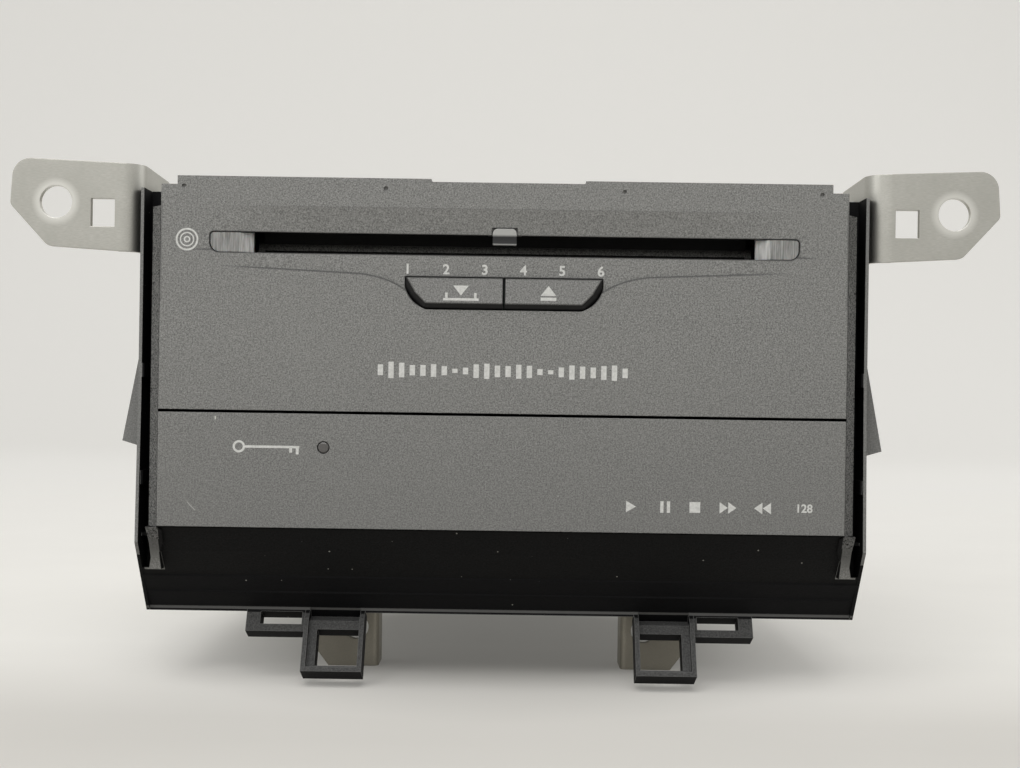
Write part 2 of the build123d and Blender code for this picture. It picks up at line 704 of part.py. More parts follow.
def make_front_frame():
    """Raw black moulding: plate behind the panels, side walls, stepped skirt, lip and hook loops."""
    outer = (-frame_half_w, frame_half_w)
    skirt_top = FACE_BOTTOM - SKIRT_GAP
    plate_low = LIP_Z + 4
    frame = block(outer, (PANEL_BACK_Y, plate_back_y), (plate_low, FRAME_TOP))
    frame -= slot_window(PANEL_BACK_Y - 1, plate_back_y + 1)
    step_low = SKIRT_STEP_Z - SKIRT_STEP_H
    skirt = polygon(
        (SKIRT_TOP_Y, skirt_top),
        (SKIRT_CREASE_Y, SKIRT_CREASE_Z),
        (SKIRT_STEP_Y, SKIRT_STEP_Z),
        (SKIRT_STEP_Y, step_low),
        (LIP_Y, LIP_Z),
        (LIP_Y, LIP_Z - LIP_H),
        (LIP_Y + LIP_DEPTH, LIP_Z - LIP_H),
        (LIP_Y + LIP_DEPTH, LIP_Z),
        (LIP_Y + SKIRT_WALL, LIP_Z),
        (SKIRT_STEP_Y + SKIRT_WALL, step_low),
        (SKIRT_STEP_Y + SKIRT_WALL, SKIRT_STEP_Z),
        (SKIRT_CREASE_Y + SKIRT_WALL, SKIRT_CREASE_Z),
        (SKIRT_TOP_Y + SKIRT_WALL, skirt_top),
    )
    skirt = side_prism(skirt, outer)
    beside = block(outer, (SKIRT_TOP_Y - 1, PANEL_BACK_Y), (FOOT_Z, skirt_top + 1))
    between = (-face_half_w - STRIP_GAP, face_half_w + STRIP_GAP)
    beside -= block(between, (SKIRT_TOP_Y - 2, PANEL_BACK_Y + 1), (FOOT_Z - 1, skirt_top + 2))
    frame += skirt - beside
    wall = polygon(
        (FRAME_FRONT_Y, FRAME_TOP),
        (FRAME_FRONT_Y, WALL_LEAN_Z),
        (WALL_KNEE_Y, WALL_KNEE_Z),
        (LIP_Y, LIP_Z - LIP_H),
        (CASE_FRONT_Y, LIP_Z - LIP_H),
        (CASE_FRONT_Y, FRAME_TOP),
    )
    fin = polygon(
        (frame_half_w, FIN_TOP),
        (frame_half_w + FIN_W, FIN_BOTTOM),
        (frame_half_w, FIN_BOTTOM - FIN_SLANT),
    )
    recess = polygon(
        (LIP_Y - 2 * BIG_RIM, LIP_Z),
        (LIP_Y, LIP_Z),
        (LIP_Y + RECESS_DEPTH, LIP_Z - HOOK_SLANT),
        (LIP_Y - 2 * BIG_RIM, LIP_Z - HOOK_SLANT - 0.6),
    )
    recess_x = (BIG_HOOK_X + HOOK_WALL, BIG_HOOK_X + BIG_HOOK_W - HOOK_WALL)
    big_window = (BIG_HOOK_X + HOOK_WALL, BIG_WINDOW_W, BIG_WINDOW_TOP, BIG_WINDOW_H)
    small_x = BIG_HOOK_X + BIG_HOOK_W - 0.8
    small_window = (small_x + 1.6, SMALL_WINDOW_W, SMALL_WINDOW_TOP, SMALL_WINDOW_H)
    rib = CASE_FRONT_Y - plate_back_y
    half = [
        side_prism(wall, (frame_half_w - FRAME_WALL, frame_half_w)),
        make_side_strip(),
        block(
            (strip_outer, frame_half_w - FRAME_WALL),
            (FRAME_FRONT_Y + 2, PANEL_BACK_Y),
            (CHANNEL_LOW, CHANNEL_LOW + FRAME_WALL),
        ),
        front_prism(fin, (FIN_Y, CASE_FRONT_Y)),
        hook(BIG_HOOK_X, BIG_HOOK_W, BIG_HOOK_LENGTH, big_window, BIG_RIM),
        hook(small_x, SMALL_HOOK_W, SMALL_HOOK_LENGTH, small_window, 0),
    ]
    tab_x = (frame_half_w - FRAME_WALL - WALL_TAB_T, frame_half_w)
    for z in WALL_TABS_Z:
        half.append(block(tab_x, (FRAME_FRONT_Y, PANEL_BACK_Y), (z, z + WALL_TAB_H)))
    for z in FRAME_SCREWS_Z:
        half.append(rod("Y", FRAME_BOSS_R, (plate_back_y - 0.5, CASE_FRONT_Y), (frame_screw_x, z)))
    lug = block(
        (DOOR_HALF_W + FREE, DOOR_HALF_W + FREE + DOOR_LUG_T),
        (plate_back_y - 0.5, DOOR_Y + 2 * DOOR_PIN_R),
        (DOOR_Z - 2 * DOOR_PIN_R, DOOR_Z + 2 * DOOR_PIN_R),
    )
    pin_hole = rod("X", DOOR_PIN_R + FIT, (DOOR_HALF_W, DOOR_HALF_W + 3), (DOOR_Y, DOOR_Z))
    half.append(lug)
    for piece in half:
        frame += piece
        frame += mirrored(piece)
    for z in FRAME_SCREWS_Z:
        bore = rod("Y", SCREW_R, (PANEL_BACK_Y - 1, CASE_FRONT_Y + 1), (frame_screw_x, z))
        frame -= bore
        frame -= mirrored(bore)
    for cut in (pin_hole, side_prism(recess, recess_x)):
        frame -= cut
        frame -= mirrored(cut)
    chute_half = SLOT_HALF_W - 1
    roof = slot_top + CHUTE_GAP
    frame += block((-chute_half, chute_half), (CHUTE_FRONT, PANEL_BACK_Y), (roof, roof + CHUTE_T))
    ramp_low = slot_bottom - CHUTE_GAP
    ramp = polygon(
        (CHUTE_FRONT, ramp_low),
        (PANEL_BACK_Y - FELT_T, SLOT_Z - DISC_T),
        (PANEL_BACK_Y, SLOT_Z - DISC_T),
        (PANEL_BACK_Y, ramp_low - CHUTE_T),
        (CHUTE_FRONT, ramp_low - CHUTE_T),
    )
    return frame + side_prism(ramp, (-chute_half, chute_half))


def make_side_strip():
    """Right strip beside the panels: bevelled front, fine notches and a foot that follows the skirt."""
    inner = face_half_w + STRIP_GAP
    section = polygon(
        (inner, PANEL_BACK_Y),
        (inner, FACE_Y + BEVEL_STEP),
        (strip_outer, FACE_Y + BEVEL_STEP + BEVEL_DEPTH),
        (strip_outer, PANEL_BACK_Y),
    )
    low = FACE_BOTTOM - SKIRT_GAP
    strip = extrude(Pos(0, 0, low) * make_face(section), amount=STRIP_TOP - low)
    notch = (FACE_Y - 1, FACE_Y + BEVEL_STEP + BEVEL_DEPTH)
    for z in STRIP_NOTCHES_Z:
        strip -= block((strip_outer - NOTCH_DEPTH, strip_outer + 1), notch, (z, z + NOTCH_H))
    foot = polygon(
        (inner, low),
        (inner - FOOT_BULGE, low - 0.8),
        (inner - FOOT_BULGE, low - 4.1),
        (inner, low - 6.6),
        (inner, FOOT_Z),
        (strip_outer + FOOT_FLARE, FOOT_Z),
        (strip_outer - FOOT_WAIST, low - 8.0),
        (strip_outer - FOOT_WAIST, low - 4.0),
        (strip_outer, low),
    )
    follow = polygon(
        (FACE_Y + BEVEL_STEP, low),
        (FRAME_FRONT_Y, FOOT_Z),
        (SKIRT_STEP_Y + SKIRT_WALL, FOOT_Z),
        (SKIRT_STEP_Y + SKIRT_WALL, low),
    )
    foot = front_prism(foot, (FACE_Y, PANEL_BACK_Y)) & side_prism(follow, (0, frame_half_w))
    return strip + foot


def slot_window(y_low, y_high):
    """Way through for a disc, as high as the slot."""
    return block((-DISC_WAY_HALF_W, DISC_WAY_HALF_W), (y_low, y_high), (slot_bottom, slot_top))


def make_end_guide():
    """Clear light guide that closes the right end of the slot, with a flange behind the panel."""
    gap = FREE / 2
    inner_back = (SLOT_HALF_W, panel_inside_y)
    front = FACE_Y + 0.4
    shoulder = SLOT_HALF_W + 3.45
    face = polygon(
        inner_back,
        (shoulder, front),
        (slot_outer - gap, front),
        (slot_outer - gap, panel_inside_y),
    )
    height = SLOT_H - 2 * gap
    guide = extrude(Pos(0, 0, slot_bottom + gap) * make_face(face), amount=height)
    ends = guide.edges().filter_by(Axis.Y).sort_by(Axis.Z)
    guide = fillet(ends[0], GUIDE_LOW_R)
    guide = fillet(guide.edges().filter_by(Axis.Y).sort_by(Axis.Z)[-1], GUIDE_TOP_R)
    back = (panel_inside_y, panel_inside_y + GUIDE_FLANGE)
    guide += block(
        (SLOT_HALF_W, slot_outer + GUIDE_FLANGE),
        back,
        (slot_bottom - GUIDE_FLANGE, slot_top + GUIDE_FLANGE),
    )
    return guide


def make_centre_guide():
    """Small lamp lens over the middle of the slot, with its flange behind the panel."""
    half = LENS_NOTCH_W / 2
    low = LENS_NOTCH_TOP - 4.0
    outline = FilletPolyline(
        (-half, low),
        (-half, LENS_NOTCH_TOP),
        (half, LENS_NOTCH_TOP),
        (half, low),
        radius=[0.3, 1.2, 1.2, 0.3],
        close=True,
    )
    lens = front_prism(outline, (FACE_Y + 0.5, panel_inside_y))
    flange = block(
        (-half - GUIDE_FLANGE, half + GUIDE_FLANGE),
        (panel_inside_y, panel_inside_y + GUIDE_FLANGE),
        (slot_top, LENS_NOTCH_TOP + GUIDE_FLANGE),
    )
    return lens + flange


def make_felts():
    """Two felt strips on the frame plate that wipe both faces of a disc."""
    half = DISC_WAY_HALF_W - 2
    strips = []
    upper = (SLOT_Z + DISC_T / 2 + FELT_GAP, slot_top + CHUTE_GAP)
    strips.append(block((-half, half), (PANEL_BACK_Y - FELT_T, PANEL_BACK_Y), upper))
    lower = (slot_bottom, SLOT_Z - DISC_T / 2 - FELT_GAP)
    strips.append(block((-half, half), (PANEL_BACK_Y, PANEL_BACK_Y + FELT_T), lower))
    return group(strips)


def make_button():
    """Right-hand button: cap with a low chamfer, a flange behind the panel and a stem to its switch."""
    front = FACE_Y - BUTTON_PROUD
    cap = front_prism(button_outline(0), (front, panel_inside_y))
    bulge = BUTTON_BULGE / 2
    bevels = [
        ((BUTTON_HALF_W, BUTTON_BOTTOM), (-1, BUTTON_BOTTOM)),
        (
            (BUTTON_HALF_W + bulge, BUTTON_CORNER_Z - bulge),
            (BUTTON_CORNER_X + bulge, BUTTON_BOTTOM - bulge),
        ),
        ((BUTTON_HALF_W + BUTTON_CHAMFER, BUTTON_TOP), (BUTTON_HALF_W, BUTTON_CORNER_Z)),
    ]
    for start, end in bevels:
        cap -= bevel_cut(front, start, end)
    flange_front = panel_inside_y + BUTTON_GAP
    neck = front_prism(button_outline(0), (panel_inside_y, flange_front))
    grow = BUTTON_FLANGE
    flange = block(
        (BUTTON_SPLIT / 2, BUTTON_HALF_W + grow),
        (flange_front, flange_front + BUTTON_FLANGE),
        (BUTTON_BOTTOM - grow, BUTTON_TOP + grow),
    )
    stem = rod("Y", STEM_R, (flange_front + BUTTON_FLANGE, plunger_front), (SWITCH_X, switch_z))
    return cap + neck + flange + stem


def bevel_cut(front, start, end):
    """Bar that bevels the front edge between two (x, z) points, with the cap to its left."""
    way = Vector(end[0] - start[0], 0, end[1] - start[1])
    spare = 2.0
    section = polygon(
        (-spare, -BUTTON_CHAMFER - spare),
        (-spare, spare),
        (BUTTON_CHAMFER + spare, spare),
    )
    plane = Plane(origin=(start[0], front, start[1]), x_dir=(0, 1, 0), z_dir=way.normalized())
    bar = extrude(make_face(section), amount=way.length + 2 * spare)
    return plane * Pos(0, 0, -spare) * bar


def make_plunger():
    """Push pin of a tact switch, which rides in the switch's bore."""
    back = SWITCH_BOARD_Y - SWITCH_BODY_T + PLUNGER_DEPTH - BUTTON_TRAVEL - BUTTON_GAP
    return rod("Y", PLUNGER_R, (plunger_front, back), (SWITCH_X, switch_z))


def make_tact_switches():
    """Two square switch bodies on the switch board, each with a blind bore for its push pin."""
    half = SWITCH_SIZE / 2
    front = SWITCH_BOARD_Y - SWITCH_BODY_T
    body = block(
        (SWITCH_X - half, SWITCH_X + half),
        (front, SWITCH_BOARD_Y),
        (switch_z - half, switch_z + half),
    )
    body -= rod("Y", PLUNGER_R + FIT, (front - 1, front + PLUNGER_DEPTH), (SWITCH_X, switch_z))
    return both_sides(body)


def make_switch_board():
    return block(
        (-SWITCH_BOARD_HALF_W, SWITCH_BOARD_HALF_W),
        (SWITCH_BOARD_Y, SWITCH_BOARD_Y + BOARD_T),
        (switch_z - SWITCH_BOARD_HALF_H, switch_z + SWITCH_BOARD_HALF_H),
    )


def make_warning_lamp():
    """Round lamp with a domed lens flush in the lower panel."""
    body = rod("Y", LED_R, (FACE_Y, LED_BOARD_Y), (LED_X, LED_Z))
    body = fillet(body.edges().sort_by(Axis.Y)[0], LED_R * 0.4)
    return body + rod("Y", LED_R + 0.4, (LED_BOARD_Y - 1, LED_BOARD_Y), (LED_X, LED_Z))


def make_lamp_board():
    return block(
        (LED_X - LED_BOARD_HALF_W, LED_X + LED_BOARD_HALF_W),
        (LED_BOARD_Y, LED_BOARD_Y + BOARD_T),
        (LED_Z - LED_BOARD_HALF_H, LED_Z + LED_BOARD_HALF_H),
    )


# ---------------------------------------------------------------- steel brackets and case
def make_side_bracket():
    """Right steel bracket: ear with its bolt hole, rolled corner and plate along the case's side."""
    root = CASE_HALF_W + BRACKET_T + EAR_BEND_R / 2
    outline = FilletPolyline(
        (root, BRACKET_LOW),
        (root, BRACKET_TOP),
        (ear_hole_x + EAR_REACH - EAR_LEAN, BRACKET_TOP + EAR_RISE),
        (ear_hole_x + EAR_REACH, -EAR_LEAN),
        (ear_hole_x + EAR_CUT_X, BRACKET_LOW + EAR_RISE),
        radius=[0.3, 0.3, EAR_TOP_R, EAR_TIP_R, EAR_LOW_R],
        close=True,
    )
    ear = front_prism(outline, (-BRACKET_T, 0))
    inner = CASE_HALF_W
    outer = CASE_HALF_W + BRACKET_T
    centre_x = inner + EAR_BEND_R
    bend_low = BRACKET_LOW
    bend_height = BRACKET_TOP - bend_low
    bend_y = EAR_BEND_R - BRACKET_T
    ring = Cylinder(EAR_BEND_R, bend_height) - Cylinder(EAR_BEND_R - BRACKET_T, bend_height + 2)
    ring = Pos(centre_x, bend_y, bend_low + bend_height / 2) * ring
    keep = block(
        (inner - 1, centre_x),
        (-BRACKET_T - 1, bend_y),
        (bend_low - 1, BRACKET_TOP + 1),
    )
    ear = ear - block((inner - 1, centre_x), (-BRACKET_T - 1, 1), (bend_low - 2, BRACKET_TOP + 2))
    plate_side = polygon(
        (bend_y, BRACKET_TOP),
        (BRACKET_KNEE_Y, BRACKET_TOP - 0.7),
        (BRACKET_WIDE_Y, BRACKET_TOP - BRACKET_DROP - 2),
        (BRACKET_REAR_Y, BRACKET_TOP - BRACKET_DROP - 2),
        (BRACKET_REAR_Y, BRACKET_BOTTOM),
        (BRACKET_WIDE_Y, BRACKET_BOTTOM),
        (BRACKET_KNEE_Y, BRACKET_LOW),
        (bend_y, BRACKET_LOW),
    )
    plate = side_prism(plate_side, (inner, outer))
    bracket = plate + (ring & keep) + ear
    bracket -= rod("Y", EAR_HOLE_R, (-BRACKET_T - 1, 1), (ear_hole_x, 0))
    half_w = EAR_SQUARE_W / 2
    half_h = EAR_SQUARE_H / 2
    bracket -= block(
        (ear_square_x - half_w, ear_square_x + half_w),
        (-BRACKET_T - 1, 1),
        (EAR_SQUARE_Z - half_h, EAR_SQUARE_Z + half_h),
    )
    for y, z in side_screws:
        bracket -= rod("X", SCREW_R, (inner - 1, outer + 1), (y, z))
    return bracket


def make_leg_bracket():
    """Right steel leg under the case: plate with a bolt hole, inner stiffening flange and foot."""
    outer = LEG_X + LEG_W
    outline = polygon(
        (LEG_X, CASE_BOTTOM),
        (outer, CASE_BOTTOM),
        (outer, LEG_BOTTOM + LEG_CHAMFER_H),
        (outer - LEG_CHAMFER_W, LEG_BOTTOM),
        (LEG_X, LEG_BOTTOM),
    )
    leg = front_prism(outline, (LEG_Y, LEG_Y + BRACKET_T))
    inner_wall = (LEG_X, LEG_X + BRACKET_T)
    leg += block(inner_wall, (LEG_Y, LEG_Y + LEG_FLANGE), (LEG_BOTTOM, CASE_BOTTOM))
    leg += block((LEG_X, outer), (LEG_Y, LEG_Y + LEG_FOOT), (CASE_BOTTOM - BRACKET_T, CASE_BOTTOM))
    bends = leg.edges().filter_by(Axis.Z).filter_by_position(Axis.Y, LEG_Y - 0.1, LEG_Y + 0.1)
    leg = fillet(bends.sort_by(Axis.X)[0], LEG_BEND_R)
    leg -= rod("Y", LEG_HOLE_R, (LEG_Y - 1, LEG_Y + BRACKET_T + 1), (LEG_HOLE_X, LEG_HOLE_Z))
    for y in leg_screws_y:
        hole = (CASE_BOTTOM - BRACKET_T - 1, CASE_BOTTOM + 1)
        leg -= rod("Z", SCREW_R, hole, (leg_screw_x, y))
    return leg


def make_case():
    """Folded steel tray of the case: floor, sides and front wall, open at the top and the back."""
    rear = case_rear_y - SHEET
    cover_low = CASE_TOP - SHEET
    case = block((-CASE_HALF_W, CASE_HALF_W), (CASE_FRONT_Y, rear), (CASE_BOTTOM, cover_low))
    case -= block(
        (-case_inside_x, case_inside_x),
        (CASE_FRONT_Y + SHEET, rear + 1),
        (CASE_BOTTOM + SHEET, cover_low + 1),
    )
    front = (CASE_FRONT_Y - 1, CASE_FRONT_Y + SHEET + 1)
    way = DISC_WAY_HALF_W + WINDOW_SIDE
    case -= block((-way, way), front, (slot_bottom - WINDOW_DROP, cover_low - WINDOW_ROOF))
    for side in (-1, 1):
        for z in FRAME_SCREWS_Z:
            case -= rod("Y", SCREW_R, front, (side * frame_screw_x, z))
        for y, z in side_screws:
            span = sorted((side * (case_inside_x - 1), side * (CASE_HALF_W + 1)))
            case -= rod("X", SCREW_R, span, (y, z))
        for y in leg_screws_y:
            hole = (CASE_BOTTOM - 1, CASE_BOTTOM + SHEET + 1)
            case -= rod("Z", SCREW_R, hole, (side * leg_screw_x, y))
    for row in range(VENT_ROWS):
        for column in range(VENT_COLUMNS):
            y = VENT_Y + column * VENT_PITCH
            z = VENT_Z - row * VENT_PITCH
            slit = block((-CASE_HALF_W - 1, CASE_HALF_W + 1), (y, y + VENT_W), (z, z + VENT_H))
            case -= slit
    for tab in cover_tabs() + board_bosses():
        case += tab
    return case


def cover_tabs():
    """Four folded corner tabs of the case that the lid's screws bite into."""
    tabs = []
    for x, y in cover_screws:
        side = 1 if x > 0 else -1
        tab_x = sorted((side * case_inside_x, side * (case_inside_x - SHEET - COVER_TAB_W)))
        low = CASE_TOP - SHEET - SCREW_LENGTH
        tab = block(tab_x, (y - COVER_TAB_W / 2, y + COVER_TAB_W / 2), (low, low + 2 * SHEET))
        tabs.append(tab - rod("Z", SCREW_R, (low - 1, CASE_TOP), (x, y)))
    return tabs


def board_bosses():
    """Four pressed bosses of the case floor under the main board's corners."""
    bosses = []
    floor = CASE_BOTTOM + SHEET
    for x, y in board_screws:
        boss = rod("Z", BOSS_R, (floor, MAIN_BOARD_Z), (x, y))
        bosses.append(boss - rod("Z", SCREW_R, (MAIN_BOARD_Z - SCREW_LENGTH, MAIN_BOARD_Z + 1), (x, y)))
    return bosses


def make_deck():
    """Steel shelf between the mechanism above and the electronics below."""
    return block(
        (-case_inside_x, case_inside_x),
        (CASE_FRONT_Y + SHEET, case_rear_y - SHEET),
        (DECK_TOP - SHEET, DECK_TOP),
    )


def make_top_cover():
    """Steel lid with side lips tucked inside the case and a pressed stiffening field."""
    cover_low = CASE_TOP - SHEET
    cover = block((-CASE_HALF_W, CASE_HALF_W), (CASE_FRONT_Y, case_rear_y), (cover_low, CASE_TOP))
    lip_inset = COVER_SCREW_INSET_Y + COVER_TAB_W
    lip_y = (CASE_FRONT_Y + lip_inset, case_rear_y - lip_inset)
    rib_y = (CASE_FRONT_Y + COVER_RIB_INSET, case_rear_y - COVER_RIB_INSET)
    for side in (-1, 1):
        lip_x = sorted((side * case_inside_x, side * (case_inside_x - SHEET)))
        cover += block(lip_x, lip_y, (cover_low - COVER_LIP, cover_low))
    for x in (-COVER_RIB_X, 0, COVER_RIB_X):
        rib_x = (x - COVER_RIB_W / 2, x + COVER_RIB_W / 2)
        cover += block(rib_x, rib_y, (CASE_TOP, CASE_TOP + COVER_RIB_H))
    for x, y in cover_screws:
        cover -= rod("Z", SCREW_R, (cover_low - 1, CASE_TOP + 1), (x, y))
    return cover


def make_rear_panel():
    """Steel rear wall with the cut-outs of its sockets."""
    panel = block(
        (-CASE_HALF_W, CASE_HALF_W),
        (case_rear_y - SHEET, case_rear_y),
        (CASE_BOTTOM, CASE_TOP - SHEET),
    )
    through = (case_rear_y - SHEET - 1, case_rear_y + 1)
    for x, z, width, height in (main_socket, aux_socket):
        panel -= block((x, x + width), through, (z, z + height))
    panel -= rod("Y", ANTENNA_R + FIT, through, (antenna_x, ANTENNA_Z))
    for x, z in sink_screws:
        panel -= rod("Y", SCREW_R, through, (x, z))
    return panel


def make_socket(place, pins_x, pins_z):
    """Moulded header: hollow shroud through the rear wall with rows of contact pins."""
    x, z, width, height = place
    front = case_rear_y - SHEET - SOCKET_IN
    back = case_rear_y + SOCKET_OUT
    shroud = block((x, x + width), (front, back), (z, z + height))
    shroud -= block(
        (x + SOCKET_WALL, x + width - SOCKET_WALL),
        (front + SOCKET_WALL * 2, back + 1),
        (z + SOCKET_WALL, z + height - SOCKET_WALL),
    )
    pins = []
    half_pin = PIN_SIDE / 2
    for column in range(pins_x):
        for row in range(pins_z):
            pin_x = x + width * (column + 1) / (pins_x + 1)
            pin_z = z + height * (row + 1) / (pins_z + 1)
            pins.append(
                block(
                    (pin_x - half_pin, pin_x + half_pin),
                    (front + SOCKET_WALL, back - 2 * SOCKET_WALL),
                    (pin_z - half_pin, pin_z + half_pin),
                )
            )
    for pin in pins:
        shroud += pin
    return shroud


def make_antenna_socket():
    """Round antenna jack pressed through the rear wall."""
    barrel = (case_rear_y - ANTENNA_IN, case_rear_y + ANTENNA_OUT)
    jack = rod("Y", ANTENNA_R, barrel, (antenna_x, ANTENNA_Z))
    bore = (case_rear_y - ANTENNA_IN + 4, case_rear_y + ANTENNA_OUT + 1)
    return jack - rod("Y", ANTENNA_BORE_R, bore, (antenna_x, ANTENNA_Z))


def make_heat_sink():
    """Extruded aluminium sink on the rear wall with upright fins."""
    base = (case_rear_y, case_rear_y + SINK_BASE)
    sink = block(SINK_X, base, SINK_Z)
    pitch = (SINK_X[1] - SINK_X[0] - SINK_FIN_T) / (SINK_FINS - 1)
    for index in range(SINK_FINS):
        x = SINK_X[0] + index * pitch
        fin_y = (case_rear_y + SINK_BASE, case_rear_y + SINK_BASE + SINK_FIN_OUT)
        sink += block((x, x + SINK_FIN_T), fin_y, SINK_Z)
    for x, z in sink_screws:
        sink -= rod("Y", SCREW_HEAD_R + FREE, (base[1] - SCREW_HEAD_H, base[1] + SINK_FIN_OUT + 1), (x, z))
        sink -= rod("Y", SCREW_R, (base[0] - 1, base[1] + 1), (x, z))
    return sink


# ---------------------------------------------------------------- electronics
def make_main_board():
    board = block(
        (-main_board_half_w, main_board_half_w),
        (MAIN_BOARD_FRONT, MAIN_BOARD_REAR),
        (MAIN_BOARD_Z, MAIN_BOARD_Z + BOARD_T),
    )
    for x, y in board_screws:
        board -= rod("Z", SCREW_R, (MAIN_BOARD_Z - 1, MAIN_BOARD_Z + BOARD_T + 1), (x, y))
    return board


def make_capacitors():
    """Upright electrolytic capacitors on the main board."""
    board_top = MAIN_BOARD_Z + BOARD_T
    cans = []
    for x, y, radius, height in CAPACITORS:
        can = rod("Z", radius, (board_top, board_top + height), (x, y))
        cans.append(fillet(can.edges().sort_by(Axis.Z)[-1], radius / 5))
    return group(cans)


def make_chips():
    """Flat circuits on the main board, and the amplifier chip that stands against the rear wall."""
    board_top = MAIN_BOARD_Z + BOARD_T
    chips = []
    for x, y, size in CHIPS:
        chips.append(block((x, x + size), (y, y + size), (board_top, board_top + CHIP_T)))
    rear = case_rear_y - SHEET
    stand = (board_top, board_top + POWER_CHIP_H)
    chips.append(block(POWER_CHIP_X, (rear - POWER_CHIP_T, rear), stand))
    return group(chips)


def make_tuner_can():
    """Folded tinplate screening can of the radio tuner."""
    low = MAIN_BOARD_Z + BOARD_T
    x = (main_board_half_w - TUNER_INSET - TUNER_W, main_board_half_w - TUNER_INSET)
    y = (TUNER_Y, TUNER_Y + TUNER_DEPTH)
    can = block(x, y, (low, low + TUNER_H))
    inside_x = (x[0] + TUNER_WALL, x[1] - TUNER_WALL)
    inside_y = (y[0] + TUNER_WALL, y[1] - TUNER_WALL)
    return can - block(inside_x, inside_y, (low - 1, low + TUNER_H - TUNER_WALL))


# ---------------------------------------------------------------- loading roller and dust door
def make_roller_plate(drive):
    """Upright bearing plate of the roller; the drive side also carries the idler's axle."""
    x = (ROLLER_PLATE_X, ROLLER_PLATE_X + ROLLER_PLATE_T)
    y = (ROLLER_PLATE_FRONT, ROLLER_PLATE_REAR)
    plate = block(x, y, (DECK_TOP, roller_z + ROLLER_PLATE_RISE))
    plate += block((x[0] - ROLLER_PLATE_FOOT, x[0]), y, (DECK_TOP, DECK_TOP + ROLLER_PLATE_T))
    through = (x[0] - 1, x[1] + 1)
    plate -= rod("X", SHAFT_R + FIT, through, (ROLLER_Y, roller_z))
    if not drive:
        return mirrored(plate)
    plate -= rod("X", PINION_R + FREE, through, (ROLLER_Y, pinion_z))
    plate += rod("X", SHAFT_R, (x[1], x[1] + 2 * FREE + GEAR_T), (ROLLER_Y, idler_z))
    return plate


def make_roller_shaft():
    """Steel shaft of the roller, long enough to carry its gear."""
    left = -ROLLER_PLATE_X - ROLLER_PLATE_T - FREE
    return rod("X", SHAFT_R, (left, gear_x_range[1]), (ROLLER_Y, roller_z))


def make_roller_sleeve():
    """Rubber sleeve, a little thinner in the middle so that a disc rides on its rim."""
    half = ROLLER_HALF_W
    sleeve = rod("X", ROLLER_R, (-half, half), (ROLLER_Y, roller_z))
    sleeve -= rod("X", SHAFT_R, (-half - 1, half + 1), (ROLLER_Y, roller_z))
    waist = rod("X", ROLLER_R + 1, (-half / 3, half / 3), (ROLLER_Y, roller_z))
    waist -= rod("X", ROLLER_R - 0.6, (-half, half), (ROLLER_Y, roller_z))
    return sleeve - waist


def make_roller_gear():
    gear = gear_x(ROLLER_GEAR_R, ROLLER_GEAR_TEETH, gear_x_range, (ROLLER_Y, roller_z))
    return gear - rod("X", SHAFT_R, (gear_x_range[0] - 1, gear_x_range[1] + 1), (ROLLER_Y, roller_z))


def make_idler_gear():
    gear = gear_x(IDLER_R, IDLER_TEETH, gear_x_range, (ROLLER_Y, idler_z))
    return gear - rod("X", SHAFT_R + FIT, (gear_x_range[0] - 1, gear_x_range[1] + 1), (ROLLER_Y, idler_z))


def make_loading_pinion():
    """Pinion with the motor's output shaft."""
    pinion = gear_x(PINION_R, PINION_TEETH, gear_x_range, (ROLLER_Y, pinion_z))
    shaft = (ROLLER_PLATE_X - MOTOR_SHAFT_IN, gear_x_range[0])
    return pinion + rod("X", MOTOR_SHAFT_R, shaft, (ROLLER_Y, pinion_z))


def motor(radius, span, centre, flat):
    """Small can motor on an X axis with flattened sides and a blind bore at its drive end."""
    body = rod("X", radius, span, centre)
    low, high = span[0] - 1, span[1] + 1
    y, z = centre
    body &= block((low, high), (y - radius - 1, y + radius + 1), (z - flat, z + flat))
    return body


def make_loading_motor():
    span = (ROLLER_PLATE_X - LOADING_MOTOR_L, ROLLER_PLATE_X)
    body = motor(LOADING_MOTOR_R, span, (ROLLER_Y, pinion_z), LOADING_MOTOR_R - 0.8)
    bore = (ROLLER_PLATE_X - MOTOR_SHAFT_IN - FREE, ROLLER_PLATE_X + 1)
    return body - rod("X", MOTOR_SHAFT_R + FIT, bore, (ROLLER_Y, pinion_z))


def make_disc_guide():
    """Nylon guide over the roller that keeps a disc flat; it hangs from the roller plates."""
    low = SLOT_Z + DISC_T / 2 + DISC_GAP
    half = ROLLER_PLATE_X
    guide = block(
        (-half, half),
        (DISC_GUIDE_Y, DISC_GUIDE_Y + DISC_GUIDE_DEPTH),
        (low, low + DISC_GUIDE_T),
    )
    for index in range(GUIDE_RIBS):
        x = -half + (index + 0.5) * 2 * half / GUIDE_RIBS
        rib = (DISC_GUIDE_Y + 1, DISC_GUIDE_Y + DISC_GUIDE_DEPTH - 1)
        guide += block((x - 0.6, x + 0.6), rib, (low + DISC_GUIDE_T, low + 2 * DISC_GUIDE_T))
    return guide


def make_dust_door():
    """Thin flap behind the slot with a pin at each end."""
    half_t = DOOR_T / 2
    door = block(
        (-DOOR_HALF_W, DOOR_HALF_W),
        (DOOR_Y - half_t, DOOR_Y + half_t),
        (DOOR_Z - DOOR_H, DOOR_Z),
    )
    door += rod("X", DOOR_PIN_R, (-DOOR_HALF_W - DOOR_PIN_L, DOOR_HALF_W + DOOR_PIN_L), (DOOR_Y, DOOR_Z))
    return door


